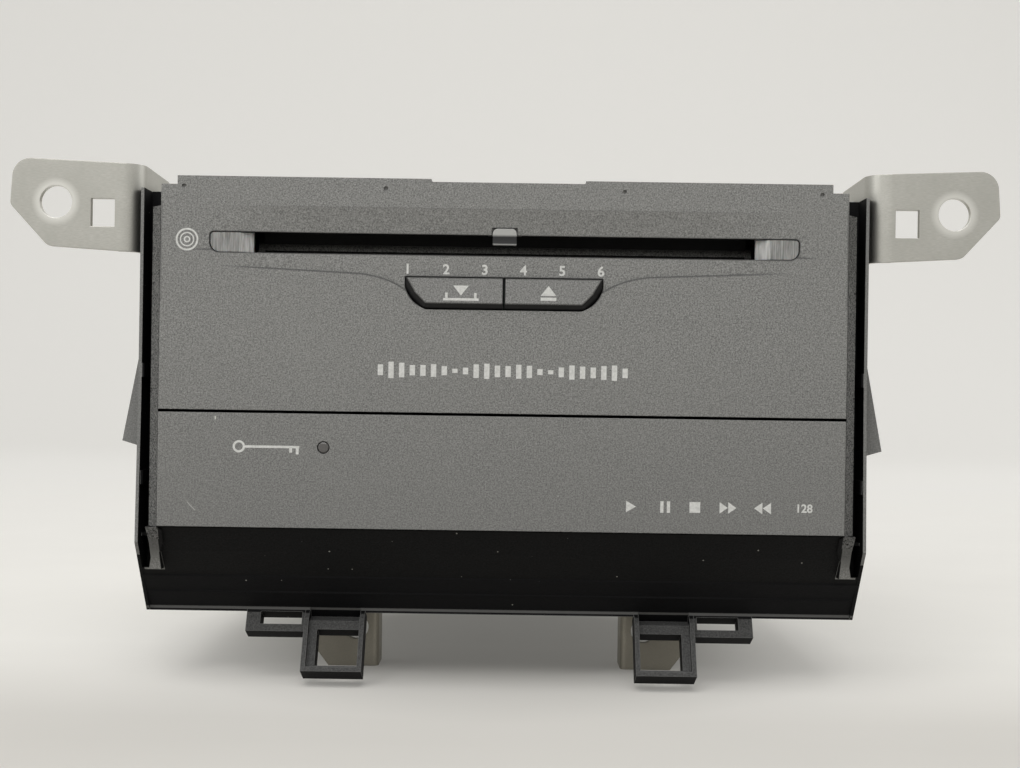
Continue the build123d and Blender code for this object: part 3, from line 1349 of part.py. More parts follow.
# ---------------------------------------------------------------- tray stack and lift
def make_tray(index):
    """Thin horseshoe tray, open at the back and round the spindle."""
    top = tray_top - index * TRAY_PITCH
    z = (top - TRAY_T, top)
    front = DISC_CENTRE_Y - TRAY_DEPTH / 2
    rear = DISC_CENTRE_Y + TRAY_DEPTH / 2
    tray = block((-TRAY_HALF_W, TRAY_HALF_W), (front, rear), z)
    corners = tray.edges().filter_by(Axis.Z)
    tray = chamfer(corners, TRAY_CORNER)
    deep = (z[0] - 1, z[1] + 1)
    tray -= rod("Z", TRAY_HOLE_R, deep, (0, DISC_CENTRE_Y))
    tray -= block((-TRAY_HOLE_R, TRAY_HOLE_R), (DISC_CENTRE_Y, rear + 1), deep)
    recess = rod("Z", DISC_R + 0.7, (top - TRAY_T / 2, top + 1), (0, DISC_CENTRE_Y))
    return tray - recess


def make_carrier():
    """Right comb that holds the trays' edges, with two bores for guide posts and two lift pins."""
    low = tray_top - (TRAY_COUNT - 1) * TRAY_PITCH - TRAY_T - 1.0
    carrier = block((TRAY_HALF_W, carrier_outer), (CARRIER_FRONT, CARRIER_REAR), (low, tray_top + 1.0))
    for y in post_ys:
        bore = (low - 1, tray_top + 2)
        carrier -= rod("Z", POST_R + FIT, bore, (post_x, y))
    for y in (PIN_FRONT_Y, PIN_REAR_Y):
        carrier += rod("X", PIN_R, (carrier_outer, carrier_outer + PIN_L), (y, PIN_Z))
    return carrier


def make_guide_posts():
    """Four steel posts that hang from the lid and steer the tray stack up and down."""
    low = tray_top - (TRAY_COUNT - 1) * TRAY_PITCH - 2 * TRAY_T
    posts = []
    for side in (-1, 1):
        for y in post_ys:
            posts.append(rod("Z", POST_R, (low, CASE_TOP - SHEET), (side * post_x, y)))
    return group(posts)


def make_lift_cam():
    """Right cam plate: its sloped slots raise the carrier's pins as the plate slides back."""
    x = (cam_inner, cam_inner + CAM_T)
    plate = block(x, (CAM_FRONT, CAM_REAR), (CAM_BOTTOM + GEAR_MESH, CAM_TOP))
    deep = (x[0] - 1, x[1] + 1)
    width = PIN_R + FREE
    for y in (PIN_FRONT_Y, PIN_REAR_Y):
        ends = ((y, PIN_Z), (y - stack_lift, PIN_Z + stack_lift))
        for end in ends:
            plate -= rod("X", width, deep, end)
        middle = ((ends[0][0] + ends[1][0]) / 2, (ends[0][1] + ends[1][1]) / 2)
        run = hypot(stack_lift, stack_lift)
        slot = Pos((x[0] + x[1]) / 2, *middle) * Rot(-45, 0, 0) * Box(x[1] - x[0] + 2, run, 2 * width)
        plate -= slot
    return plate


def make_cam_guides():
    """Four nylon blocks on the case's sides, hooked over the upper edges of the cam plates."""
    blocks = []
    outside = cam_inner + CAM_T + FREE
    for y in CAM_GUIDES_Y:
        depth = (y, y + CAM_GUIDE_DEPTH)
        foot = CAM_TOP - CAM_GUIDE_H
        cap = CAM_TOP + FREE + CAM_GUIDE_CAP_T
        guide = block((outside, case_inside_x), depth, (foot, CAM_TOP - CAM_GUIDE_STEP))
        guide += block((outside, outside + CAM_GUIDE_CAP_W), depth, (foot, cap))
        guide += block((cam_inner, outside + CAM_GUIDE_CAP_W), depth, (CAM_TOP + FREE, cap))
        blocks.append(guide)
        blocks.append(mirrored(guide))
    return group(blocks)


def make_lift_shaft():
    """Cross shaft with the two rack pinions and the driven gear."""
    span = (-bearing_x - BEARING_T, bearing_x + BEARING_T)
    centre = (LIFT_SHAFT_Y, lift_shaft_z)
    shaft = rod("X", SHAFT_R, span, centre)
    for side in (-1, 1):
        pinion = sorted((side * (cam_inner - 0.4), side * (cam_inner + CAM_T + 0.4)))
        shaft += gear_x(LIFT_PINION_R, LIFT_PINION_TEETH, pinion, centre)
    return shaft + gear_x(LIFT_GEAR_R, LIFT_GEAR_TEETH, lift_gear_span, centre)


def make_bearing_blocks():
    """Two upright bearings of the cross shaft on the deck."""
    bearing = block(
        (bearing_x, bearing_x + BEARING_T),
        (LIFT_SHAFT_Y - BEARING_HALF, LIFT_SHAFT_Y + BEARING_HALF),
        (DECK_TOP, lift_shaft_z + BEARING_HALF),
    )
    bore = (bearing_x - 1, bearing_x + BEARING_T + 1)
    bearing -= rod("X", SHAFT_R + FIT, bore, (LIFT_SHAFT_Y, lift_shaft_z))
    return both_sides(bearing)


def make_lift_pinion():
    centre = (lift_motor_y, lift_shaft_z)
    pinion = gear_x(PINION_R, PINION_TEETH, lift_gear_span, centre)
    return pinion + rod("X", MOTOR_SHAFT_R, (lift_gear_span[1], lift_motor_x + MOTOR_SHAFT_IN), centre)


def make_lift_motor():
    centre = (lift_motor_y, lift_shaft_z)
    body = motor(LIFT_MOTOR_R, (lift_motor_x, lift_motor_x + LIFT_MOTOR_L), centre, LIFT_MOTOR_R - 1)
    bore = (lift_motor_x - 1, lift_motor_x + MOTOR_SHAFT_IN + FREE)
    body -= rod("X", MOTOR_SHAFT_R + FIT, bore, centre)
    saddle = block(
        (lift_motor_x + 4, lift_motor_x + LIFT_MOTOR_L - 4),
        (lift_motor_y - LIFT_MOTOR_R + 2, lift_motor_y + LIFT_MOTOR_R - 2),
        (DECK_TOP, lift_shaft_z - LIFT_MOTOR_R + 2),
    )
    return body + saddle


# ---------------------------------------------------------------- swinging play arm


def make_swing_arm():
    """Pressed arm: pivot hub, plate with the lens window and two hanging flanges for the rods."""
    x = arm_pivot_x
    wide = (x - ARM_HALF_W, x + ARM_HALF_W)
    plate_z = (arm_bottom, ARM_PLATE_TOP)
    arm = block(wide, (arm_y(arm_reach), arm_y(ARM_HUB_R)), plate_z)
    arm += rod("Z", ARM_HALF_W, plate_z, (x, arm_y(arm_reach)))
    arm += block((x - ARM_HUB_R, x + ARM_HUB_R), (arm_y(ARM_HUB_R), arm_y(0)), plate_z)
    arm += rod("Z", ARM_HUB_R, (arm_bottom - ARM_HUB_H, ARM_PLATE_TOP), (x, ARM_PIVOT_Y))
    window = (arm_y(sled_u + LENS_R + 1), arm_y(sled_u - SLED_TRAVEL - LENS_R - 1))
    arm -= block((x - LENS_R - 1.5, x + LENS_R + 1.5), window, (arm_bottom - 1, ARM_PLATE_TOP + 1))
    for near in (flange_far, flange_near - ARM_FLANGE_T):
        flange = (arm_y(near + ARM_FLANGE_T), arm_y(near))
        arm += block(wide, flange, (ARM_FLANGE_BOTTOM, arm_bottom))
    arm -= rod("Z", POST_SEAT_R + FIT, (arm_bottom - ARM_HUB_H - 1, ARM_PLATE_TOP + 1), (x, ARM_PIVOT_Y))
    reach = (arm_y(flange_far + ARM_FLANGE_T + 1), arm_y(flange_near - ARM_FLANGE_T - 1))
    for v in (-ROD_V, ROD_V):
        arm -= rod("Y", ROD_R, reach, (x + v, ROD_Z))
    arm -= rod("Y", FEED_SCREW_R + FIT, reach, (x, FEED_SCREW_Z))
    arm -= rod("Z", SPINDLE_R + 1, (arm_bottom - 1, ARM_PLATE_TOP + 1), (x, arm_y(arm_reach)))
    return arm


def make_pivot_post():
    """Steel post riveted to the deck that the play arm swings on."""
    post = rod("Z", POST_SEAT_R, (DECK_TOP, ARM_PLATE_TOP + 1.0), (arm_pivot_x, ARM_PIVOT_Y))
    shoulder = arm_bottom - ARM_HUB_H - FREE
    return post + rod("Z", POST_SEAT_R + 2, (DECK_TOP, shoulder), (arm_pivot_x, ARM_PIVOT_Y))


def make_guide_rods():
    """Two polished rods between the arm's flanges that the pickup slides on."""
    span = (arm_y(flange_far + ARM_FLANGE_T), arm_y(flange_near - ARM_FLANGE_T))
    return group([rod("Y", ROD_R, span, (arm_pivot_x + v, ROD_Z)) for v in (-ROD_V, ROD_V)])


def make_feed_screw():
    """Screw of the pickup feed, driven straight from its motor."""
    span = (arm_y(flange_far + ARM_FLANGE_T), arm_y(flange_near - ARM_FLANGE_T - FREE - FEED_SCREW_IN))
    return rod("Y", FEED_SCREW_R, span, (arm_pivot_x, FEED_SCREW_Z))


def make_feed_motor():
    """Stepper motor of the pickup feed on the arm's near flange."""
    front = arm_y(flange_near - ARM_FLANGE_T)
    body = rod("Y", FEED_MOTOR_R, (front, front + FEED_MOTOR_L), (arm_pivot_x, FEED_SCREW_Z))
    bore = (front - 1, front + FEED_SCREW_IN + 2 * FREE)
    return body - rod("Y", FEED_SCREW_R + FIT, bore, (arm_pivot_x, FEED_SCREW_Z))


def make_pickup():
    """Pickup sled with bores for its two rods and a nut for the feed screw."""
    y = (arm_y(sled_u + SLED_LENGTH / 2), arm_y(sled_u - SLED_LENGTH / 2))
    x = arm_pivot_x
    sled = block((x - SLED_HALF_W, x + SLED_HALF_W), y, (ROD_Z - SLED_H / 2, ROD_Z + SLED_H / 2))
    sled += block((x - NUT_HALF, x + NUT_HALF), y, (FEED_SCREW_Z - NUT_HALF / 2, ROD_Z))
    through = (y[0] - 1, y[1] + 1)
    for v in (-ROD_V, ROD_V):
        sled -= rod("Y", ROD_R + FIT, through, (x + v, ROD_Z))
    return sled - rod("Y", FEED_SCREW_R + FIT, through, (x, FEED_SCREW_Z))


def make_lens():
    """Objective lens on the pickup, under the window of the arm."""
    low = ROD_Z + SLED_H / 2
    lens = rod("Z", LENS_R, (low, low + LENS_H), (arm_pivot_x, arm_y(sled_u)))
    return fillet(lens.edges().sort_by(Axis.Z)[-1], LENS_R / 4)


def make_spindle_motor():
    """Flat brushless motor under the turntable."""
    centre = (arm_pivot_x, arm_y(arm_reach))
    body = rod("Z", SPINDLE_MOTOR_R, (arm_bottom - SPINDLE_MOTOR_H, arm_bottom), centre)
    bore = (arm_bottom - SPINDLE_MOTOR_H / 2 - FREE, arm_bottom + 1)
    return body - rod("Z", SPINDLE_R + FIT, bore, centre)


def make_turntable():
    """Turntable with its centring cone and the motor's spindle."""
    centre = (arm_pivot_x, arm_y(arm_reach))
    table = rod("Z", TURNTABLE_R, (TURNTABLE_TOP - TURNTABLE_T, TURNTABLE_TOP), centre)
    cone = Pos(*centre, TURNTABLE_TOP + HUB_CONE_H / 2) * Cone(HUB_CONE_R, HUB_CONE_R * 0.7, HUB_CONE_H)
    low = arm_bottom - SPINDLE_MOTOR_H / 2
    return table + cone + rod("Z", SPINDLE_R, (low, TURNTABLE_TOP - TURNTABLE_T), centre)


# ---------------------------------------------------------------- fasteners
def make_case_screws():
    """The short screws: side brackets, legs, lid, main board and heat sink."""
    screws = []
    for side in (-1, 1):
        outside = side * (CASE_HALF_W + BRACKET_T)
        screws += [screw((outside, y, z), (-side, 0, 0)) for y, z in side_screws]
        under = CASE_BOTTOM - BRACKET_T
        screws += [screw((side * leg_screw_x, y, under), (0, 0, 1)) for y in leg_screws_y]
    screws += [screw((x, y, CASE_TOP), (0, 0, -1)) for x, y in cover_screws]
    screws += [screw((x, y, MAIN_BOARD_Z + BOARD_T), (0, 0, -1)) for x, y in board_screws]
    seat = case_rear_y + SINK_BASE - SCREW_HEAD_H
    screws += [screw((x, seat, z), (0, -1, 0)) for x, z in sink_screws]
    return group(screws)


def make_frame_screws():
    """Four long screws from the frame plate through its bosses into the case's front wall."""
    length = CASE_FRONT_Y + 2 * SHEET - PANEL_BACK_Y
    screws = []
    for x in (-frame_screw_x, frame_screw_x):
        for z in FRAME_SCREWS_Z:
            screws.append(screw((x, PANEL_BACK_Y, z), (0, 1, 0), length))
    return group(screws)


# ---------------------------------------------------------------- the pieces, by node
def build():
    guide = make_end_guide()
    button = make_button()
    plunger = make_plunger()
    bracket = make_side_bracket()
    leg = make_leg_bracket()
    cam = make_lift_cam()
    return {
        "upper_face_panel": make_upper_panel(),
        "lower_face_panel": make_lower_panel(),
        "front_frame": make_front_frame(),
        "slot_light_guides": both_sides(guide),
        "slot_lamp_lens": make_centre_guide(),
        "slot_felts": make_felts(),
        "eject_button": button,
        "load_button": mirrored(button),
        "eject_switch_plunger": plunger,
        "load_switch_plunger": mirrored(plunger),
        "tact_switches": make_tact_switches(),
        "front_boards": group([make_switch_board(), make_lamp_board()]),
        "warning_lamp": make_warning_lamp(),
        "side_bracket_right": bracket,
        "side_bracket_left": mirrored(bracket),
        "leg_bracket_right": leg,
        "leg_bracket_left": mirrored(leg),
        "main_case": make_case(),
        "mechanism_deck": make_deck(),
        "top_cover": make_top_cover(),
        "rear_panel": make_rear_panel(),
        "heat_sink": make_heat_sink(),
        "main_connector": make_socket(main_socket, 10, 2),
        "aux_connector": make_socket(aux_socket, 6, 1),
        "antenna_socket": make_antenna_socket(),
        "main_board": make_main_board(),
        "board_capacitors": make_capacitors(),
        "board_chips": make_chips(),
        "tuner_can": make_tuner_can(),
        "roller_plate_right": make_roller_plate(True),
        "roller_plate_left": make_roller_plate(False),
        "roller_shaft": make_roller_shaft(),
        "roller_sleeve": make_roller_sleeve(),
        "roller_gear": make_roller_gear(),
        "idler_gear": make_idler_gear(),
        "loading_pinion": make_loading_pinion(),
        "loading_motor": make_loading_motor(),
        "disc_guide": make_disc_guide(),
        "dust_door": make_dust_door(),
        "disc_trays": group([make_tray(index) for index in range(TRAY_COUNT)]),
        "tray_carriers": both_sides(make_carrier()),
        "stack_guide_posts": make_guide_posts(),
        "lift_cam_right": cam,
        "lift_cam_left": mirrored(cam),
        "cam_guides": make_cam_guides(),
        "lift_shaft": make_lift_shaft(),
        "lift_bearings": make_bearing_blocks(),
        "lift_pinion": make_lift_pinion(),
        "lift_motor": make_lift_motor(),
        "swing_arm": make_swing_arm(),
        "arm_pivot_post": make_pivot_post(),
        "pickup_guide_rods": make_guide_rods(),
        "feed_screw": make_feed_screw(),
        "feed_motor": make_feed_motor(),
        "pickup_sled": make_pickup(),
        "pickup_lens": make_lens(),
        "spindle_motor": make_spindle_motor(),
        "turntable": make_turntable(),
        "case_screws": make_case_screws(),
        "frame_screws": make_frame_screws(),
    }


os.makedirs("parts", exist_ok=True)
for name, shape in build().items():
    export_step(shape, f"parts/{name}.step")
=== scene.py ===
import math
import bpy
from mathutils import Matrix, Vector


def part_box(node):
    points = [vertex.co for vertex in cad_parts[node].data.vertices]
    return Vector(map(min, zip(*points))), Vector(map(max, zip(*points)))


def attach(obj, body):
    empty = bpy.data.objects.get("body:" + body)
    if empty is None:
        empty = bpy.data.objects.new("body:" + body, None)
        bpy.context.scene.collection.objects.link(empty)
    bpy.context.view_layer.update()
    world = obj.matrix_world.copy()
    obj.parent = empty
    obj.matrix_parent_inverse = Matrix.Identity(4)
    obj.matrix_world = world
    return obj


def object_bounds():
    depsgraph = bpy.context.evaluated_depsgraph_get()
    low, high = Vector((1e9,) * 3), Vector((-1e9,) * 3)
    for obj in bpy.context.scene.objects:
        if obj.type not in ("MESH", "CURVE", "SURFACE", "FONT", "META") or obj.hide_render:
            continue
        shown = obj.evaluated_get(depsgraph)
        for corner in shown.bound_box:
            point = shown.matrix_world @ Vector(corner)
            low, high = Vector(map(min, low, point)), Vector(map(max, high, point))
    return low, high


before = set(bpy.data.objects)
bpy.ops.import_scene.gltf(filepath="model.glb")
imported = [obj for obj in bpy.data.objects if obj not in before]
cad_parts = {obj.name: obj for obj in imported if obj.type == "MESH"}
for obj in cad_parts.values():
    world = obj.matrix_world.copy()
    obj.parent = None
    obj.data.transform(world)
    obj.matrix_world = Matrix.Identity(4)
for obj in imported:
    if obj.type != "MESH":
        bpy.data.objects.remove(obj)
cad_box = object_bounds()
MM = 0.001


# ---- Case, lid, deck and brackets inside: cold-rolled steel sheet, zinc plated before it is folded.
# Plating gives a cool grey metal with faint crystal spangle, soft haze and fine handling scratches.
# The case, its lid and the rear wall are folded and screwed; the deck rests between the side walls.
def colour(code):
    """Linear colour of an sRGB hex value."""
    parts = [int(code[at:at + 2], 16) / 255 for at in (1, 3, 5)]
    linear = [p / 12.92 if p <= 0.04045 else ((p + 0.055) / 1.055) ** 2.4 for p in parts]
    return (*linear, 1.0)


def add_node(tree, kind, values=None, links=None, **settings):
    """Adds one node: settings are its fields, values its free sockets and links what feeds the rest."""
    made = tree.nodes.new(kind)
    for field, value in settings.items():
        setattr(made, field, value)
    for socket, value in (values or {}).items():
        made.inputs[socket].default_value = value
    for socket, source in (links or {}).items():
        tree.links.new(source, made.inputs[socket])
    return made


def start_material(name):
    """New material with its node tree, its shader and its Object coordinates."""
    material = bpy.data.materials.new(name)
    material.use_nodes = True
    tree = material.node_tree
    shader = tree.nodes["Principled BSDF"]
    place = add_node(tree, "ShaderNodeTexCoord").outputs["Object"]
    return material, tree, shader, place


def spread(tree, source, low, high, to_low=0.0, to_high=1.0):
    """Stretches a pattern's middle values over a wider range."""
    ends = {"From Min": low, "From Max": high, "To Min": to_low, "To Max": to_high}
    made = add_node(tree, "ShaderNodeMapRange", ends, {"Value": source})
    return made.outputs["Result"]


def blend_colours(tree, amount, first, second):
    """Mixes two colours, each a hex value or a socket, by a pattern."""
    made = add_node(tree, "ShaderNodeMix", {}, {0: amount}, data_type="RGBA")
    for index, side in ((6, first), (7, second)):
        if isinstance(side, str):
            made.inputs[index].default_value = colour(side)
        else:
            tree.links.new(side, made.inputs[index])
    return made.outputs[2]


def noise(tree, place, size, detail=2.0, harsh=0.55):
    """Cloudy pattern whose blotches are about the given size across."""
    values = {"Scale": 1 / size, "Detail": detail, "Roughness": harsh}
    return add_node(tree, "ShaderNodeTexNoise", values, {"Vector": place}).outputs["Fac"]


def grain(tree, shader, source, depth, strength, edge=0.25 * MM):
    """Surface relief from a pattern, on edges rounded as a tool leaves them."""
    rounded = add_node(tree, "ShaderNodeBevel", {"Radius": edge}, samples=4).outputs["Normal"]
    links = {"Height": source, "Normal": rounded}
    made = add_node(tree, "ShaderNodeBump", {"Strength": strength, "Distance": depth}, links)
    tree.links.new(made.outputs["Normal"], shader.inputs["Normal"])


def dress(material, *names):
    """Gives CAD pieces their finish."""
    for name in names:
        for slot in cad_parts[name].material_slots:
            slot.material = material


def zinc_plated_sheet():
    """Zinc-plated steel: 9 mm spangle, 40 mm haze and 0.2 mm scratches."""
    material, tree, shader, place = start_material("zinc_plated_steel_sheet")
    cells = {"Scale": 1 / (9 * MM), "Randomness": 1.0}
    spangle = add_node(tree, "ShaderNodeTexVoronoi", cells, {"Vector": place}).outputs["Color"]
    level = add_node(tree, "ShaderNodeSeparateColor", {}, {"Color": spangle}).outputs[0]
    haze = noise(tree, place, 40 * MM, 4)
    shade = blend_colours(tree, level, "#a3a6a8", "#b0b2b2")
    shade = blend_colours(tree, spread(tree, haze, 0.4, 0.7), shade, "#9c9b93")
    tree.links.new(shade, shader.inputs["Base Color"])
    shader.inputs["Metallic"].default_value = 1.0
    rough = spread(tree, haze, 0.3, 0.7, 0.3, 0.48)
    tree.links.new(rough, shader.inputs["Roughness"])
    stretch = add_node(tree, "ShaderNodeMapping", {"Scale": (1.0, 0.06, 1.0)}, {"Vector": place})
    scratches = noise(tree, stretch.outputs[0], 0.5 * MM, 3)
    grain(tree, shader, scratches, 0.02 * MM, 0.25, 0.4 * MM)
    return material


dress(
    zinc_plated_sheet(),
    "main_case", "top_cover", "rear_panel", "mechanism_deck", "tuner_can", "roller_plate_right",
    "roller_plate_left", "lift_cam_right", "lift_cam_left", "lift_bearings",
)


# ---- Heat sink and play arm: bare aluminium, pale and satin, with fine lines from the die.
# The sink is one extrusion, sawn to length and screwed to the rear wall over the amplifier. The arm
# turns on a post of the deck.
def extruded_aluminium():
    """Bare extrusion with 0.15 mm die lines that run upright."""
    material, tree, shader, place = start_material("extruded_aluminium")
    stretch = add_node(tree, "ShaderNodeMapping", {"Scale": (1.0, 1.0, 0.01)}, {"Vector": place})
    lines = noise(tree, stretch.outputs[0], 0.15 * MM, 3)
    shade = blend_colours(tree, lines, "#b4b7ba", "#d0d2d4")
    tree.links.new(shade, shader.inputs["Base Color"])
    shader.inputs["Metallic"].default_value = 1.0
    shader.inputs["Roughness"].default_value = 0.36
    grain(tree, shader, lines, 0.02 * MM, 0.4)
    return material


dress(extruded_aluminium(), "heat_sink", "swing_arm")


# ---- Harness sockets and aerial jack: nylon headers with tin-plated contacts, and a turned brass jack
# that is nickel plated. The headers stand on the main board and look out through the rear wall, and the
# jack is pressed into it.
def moulded_nylon(name, pale, deep):
    """Slightly cloudy moulded plastic with a faint satin skin."""
    material, tree, shader, place = start_material(name)
    cloud = noise(tree, place, 6 * MM, 3)
    tree.links.new(blend_colours(tree, cloud, deep, pale), shader.inputs["Base Color"])
    shader.inputs["Roughness"].default_value = 0.42
    shader.inputs["Subsurface Weight"].default_value = 0.1
    shader.inputs["Subsurface Scale"].default_value = 0.5 * MM
    grain(tree, shader, noise(tree, place, 0.3 * MM), 0.01 * MM, 0.2)
    return material


dress(moulded_nylon("moulded_nylon_header", "#e9e6da", "#dedbcd"), "main_connector", "aux_connector")


def bright_metal(name, pale, deep, roughness, line=0.12 * MM):
    """Plated or ground metal with very fine machining marks."""
    material, tree, shader, place = start_material(name)
    marks = noise(tree, place, line, 2)
    tree.links.new(blend_colours(tree, marks, deep, pale), shader.inputs["Base Color"])
    shader.inputs["Metallic"].default_value = 1.0
    shader.inputs["Roughness"].default_value = roughness
    grain(tree, shader, marks, 0.005 * MM, 0.3, 0.15 * MM)
    return material


dress(bright_metal("nickel_plated_brass", "#c9c6bb", "#b9b6aa", 0.16), "antenna_socket")


def settle(piece):
    """Puts the object's place, turn and size into its mesh."""
    bpy.ops.object.select_all(action="DESELECT")
    piece.select_set(True)
    bpy.context.view_layer.objects.active = piece
    bpy.ops.object.transform_apply(location=True, rotation=True, scale=True)
    return piece


def join_as(pieces, name):
    """Joins several settled meshes into one named piece."""
    bpy.ops.object.select_all(action="DESELECT")
    for piece in pieces:
        piece.select_set(True)
    bpy.context.view_layer.objects.active = pieces[0]
    if len(pieces) > 1:
        bpy.ops.object.join()
    joined = bpy.context.view_layer.objects.active
    joined.name = name
    joined.data.name = name
    return joined


tin = bright_metal("tin_plated_contact", "#d3d1c9", "#c2c0b7", 0.25)
PIN_W = 1.1 * MM
PIN_LENGTH = 11 * MM
PIN_INSET = 2.8 * MM
TIP_LENGTH = 0.8 * MM
TIP_SHARE = 0.45


def contact_pins(node, columns, rows, name):
    """Square contact pins with tapered tips, one over each plain pin of the header."""
    low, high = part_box(node)
    tip = high.y - PIN_INSET
    root = tip - PIN_LENGTH
    pins = []
    for column in range(columns):
        for row in range(rows):
            x = low.x + (high.x - low.x) * (column + 1) / (columns + 1)
            z = low.z + (high.z - low.z) * (row + 1) / (rows + 1)
            bpy.ops.object.select_all(action="DESELECT")
            bpy.ops.mesh.primitive_cube_add(size=1, location=(x, (root + tip) / 2, z))
            pin = bpy.context.object
            pin.scale = (PIN_W, PIN_LENGTH, PIN_W)
            settle(pin)
            bpy.ops.object.mode_set(mode="EDIT")
            bpy.ops.mesh.select_all(action="DESELECT")
            bpy.ops.object.mode_set(mode="OBJECT")
            for face in pin.data.polygons:
                face.select = face.normal.y > 0.9
            bpy.ops.object.mode_set(mode="EDIT")
            bpy.ops.mesh.extrude_region_move(TRANSFORM_OT_translate={"value": (0, TIP_LENGTH, 0)})
            bpy.ops.transform.resize(value=(TIP_SHARE, 1, TIP_SHARE))
            bpy.ops.object.mode_set(mode="OBJECT")
            pins.append(pin)
    made = join_as(pins, name)
    made.data.materials.append(tin)
    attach(made, "case")


contact_pins("main_connector", 10, 2, "main_contacts")
contact_pins("aux_connector", 6, 1, "aux_contacts")


# ---- Boards and their parts: glass-epoxy boards under green solder resist, black moulded chips and
# sleeved cans. The main board is screwed to four bosses of the case floor, and the switch and lamp boards
# sit on posts behind the face panels.
def solder_resist():
    """Green lacquer over 1.2 mm copper tracks that show as a paler weave."""
    material, tree, shader, place = start_material("green_solder_resist")
    pitch = 2.6 * MM
    lines = {"Scale": 1 / pitch, "Mortar Size": 0.1, "Brick Width": 3.0, "Row Height": 0.5}
    tracks = add_node(tree, "ShaderNodeTexBrick", lines, {"Vector": place}).outputs["Fac"]
    tree.links.new(blend_colours(tree, tracks, "#1c4a2c", "#2c6a3e"), shader.inputs["Base Color"])
    shader.inputs["Roughness"].default_value = 0.28
    grain(tree, shader, tracks, 0.03 * MM, 0.3)
    return material


def moulded_black(name, pale, deep, roughness):
    """Moulded black part with a fine spark-eroded skin, 0.3 mm grit."""
    material, tree, shader, place = start_material(name)
    grit = noise(tree, place, 0.3 * MM, 3)
    tree.links.new(blend_colours(tree, grit, deep, pale), shader.inputs["Base Color"])
    shader.inputs["Roughness"].default_value = roughness
    grain(tree, shader, grit, 0.02 * MM, 0.3)
    return material


dress(solder_resist(), "main_board", "front_boards")
dress(
    moulded_black("glass_filled_black_plastic", "#242424", "#151515", 0.5),
    "board_capacitors", "board_chips", "tact_switches", "load_switch_plunger",
    "eject_switch_plunger", "turntable", "pickup_sled",
)


# ---- Changer works: trays, carriers, guides and gears in natural acetal, ground steel shafts and posts.
# The acetal is milky and slightly waxy; shafts are ground bright; motors wear nickel-plated cans.
dress(
    moulded_nylon("natural_acetal", "#e6e3d8", "#d9d6c9"),
    "roller_gear", "idler_gear", "loading_pinion", "lift_pinion", "disc_guide", "disc_trays",
    "tray_carriers", "cam_guides",
)
dress(
    bright_metal("ground_steel", "#c2c2c0", "#a9a9a7", 0.2),
    "roller_shaft", "stack_guide_posts", "arm_pivot_post", "pickup_guide_rods", "feed_screw",
    "lift_shaft",
)
dress(
    bright_metal("nickel_plated_motor_can", "#bdbcb4", "#aaa9a1", 0.3),
    "loading_motor", "lift_motor", "feed_motor", "spindle_motor",
)
dress(moulded_black("ground_rubber", "#1c1c1c", "#121212", 0.85), "roller_sleeve")


def lens_glass():
    """Small moulded lens with a violet anti-reflection coat that thins at its rim."""
    material, tree, shader, place = start_material("coated_lens_glass")
    coat = noise(tree, place, 2 * MM, 1)
    tree.links.new(blend_colours(tree, coat, "#8f8fd0", "#c0c8e8"), shader.inputs["Base Color"])
    shader.inputs["Roughness"].default_value = 0.03
    shader.inputs["Transmission Weight"].default_value = 0.7
    return material


dress(lens_glass(), "pickup_lens")


# ---- Front frame: one black moulding that carries the face panels, with side walls, skirt and hooks.
# Left raw from a spark-eroded tool: deep black and matt, with pale dust. Painted light greys it
# wherever it faces forward at the sides and on its lip, and lightens its hook tops, slot ramp, skirt band
# and lowest edges. It is screwed to the case's front wall through four bosses.
panel_low, panel_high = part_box("lower_face_panel")
case_half_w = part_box("main_case")[1].x
LIT_FRONT_TO_Y = 5.5 * MM
WALL_EDGE_X = case_half_w - 0.9 * MM
WALL_EDGE_Z = panel_low.z - 7.9 * MM
STRIP_X = (panel_high.x - 0.2 * MM, case_half_w - 3.0 * MM)
FOOT_X = (panel_high.x, case_half_w - 1.4 * MM)
FOOT_Z = (panel_low.z - 11.8 * MM, panel_low.z - 3.4 * MM)
FOOT_FALL_Z = (panel_low.z - 5.4 * MM, panel_low.z - 10.4 * MM)
SKIRT_BAND_Z = (panel_low.z - 13.0 * MM, panel_low.z + 0.1 * MM)
LIP_Z = (panel_low.z - 22.65 * MM, panel_low.z - 22.0 * MM)
EDGES_FROM_Z = panel_low.z - 21.9 * MM
HOOKS_FROM_Z = panel_low.z - 23.3 * MM
RAMP_X = 62 * MM
RAMP_Z = (-16 * MM, -8 * MM)


def speck_mask(tree, place, spacing, radius):
    """Scattered dots of one radius, about one in each cell of the given spacing."""
    values = {"Scale": 1 / spacing, "Randomness": 1.0}
    cells = add_node(tree, "ShaderNodeTexVoronoi", values, {"Vector": place}).outputs["Distance"]
    return spread(tree, cells, radius / spacing, 0.5 * radius / spacing)


def over(tree, value, limit, soft=0.05 * MM):
    """One where a coordinate is over the limit, with a short soft edge."""
    return spread(tree, value, limit - soft, limit + soft)


def under(tree, value, limit, soft=0.05 * MM):
    """One where a coordinate is under the limit, with a short soft edge."""
    return spread(tree, value, limit + soft, limit - soft)


def combine(tree, how, first, second):
    """Multiplies two masks, or takes the larger."""
    return add_node(tree, "ShaderNodeMath", {}, {0: first, 1: second}, operation=how).outputs[0]


def within(tree, value, low, high):
    """One where a coordinate lies between two limits."""
    return combine(tree, "MULTIPLY", over(tree, value, low), under(tree, value, high))


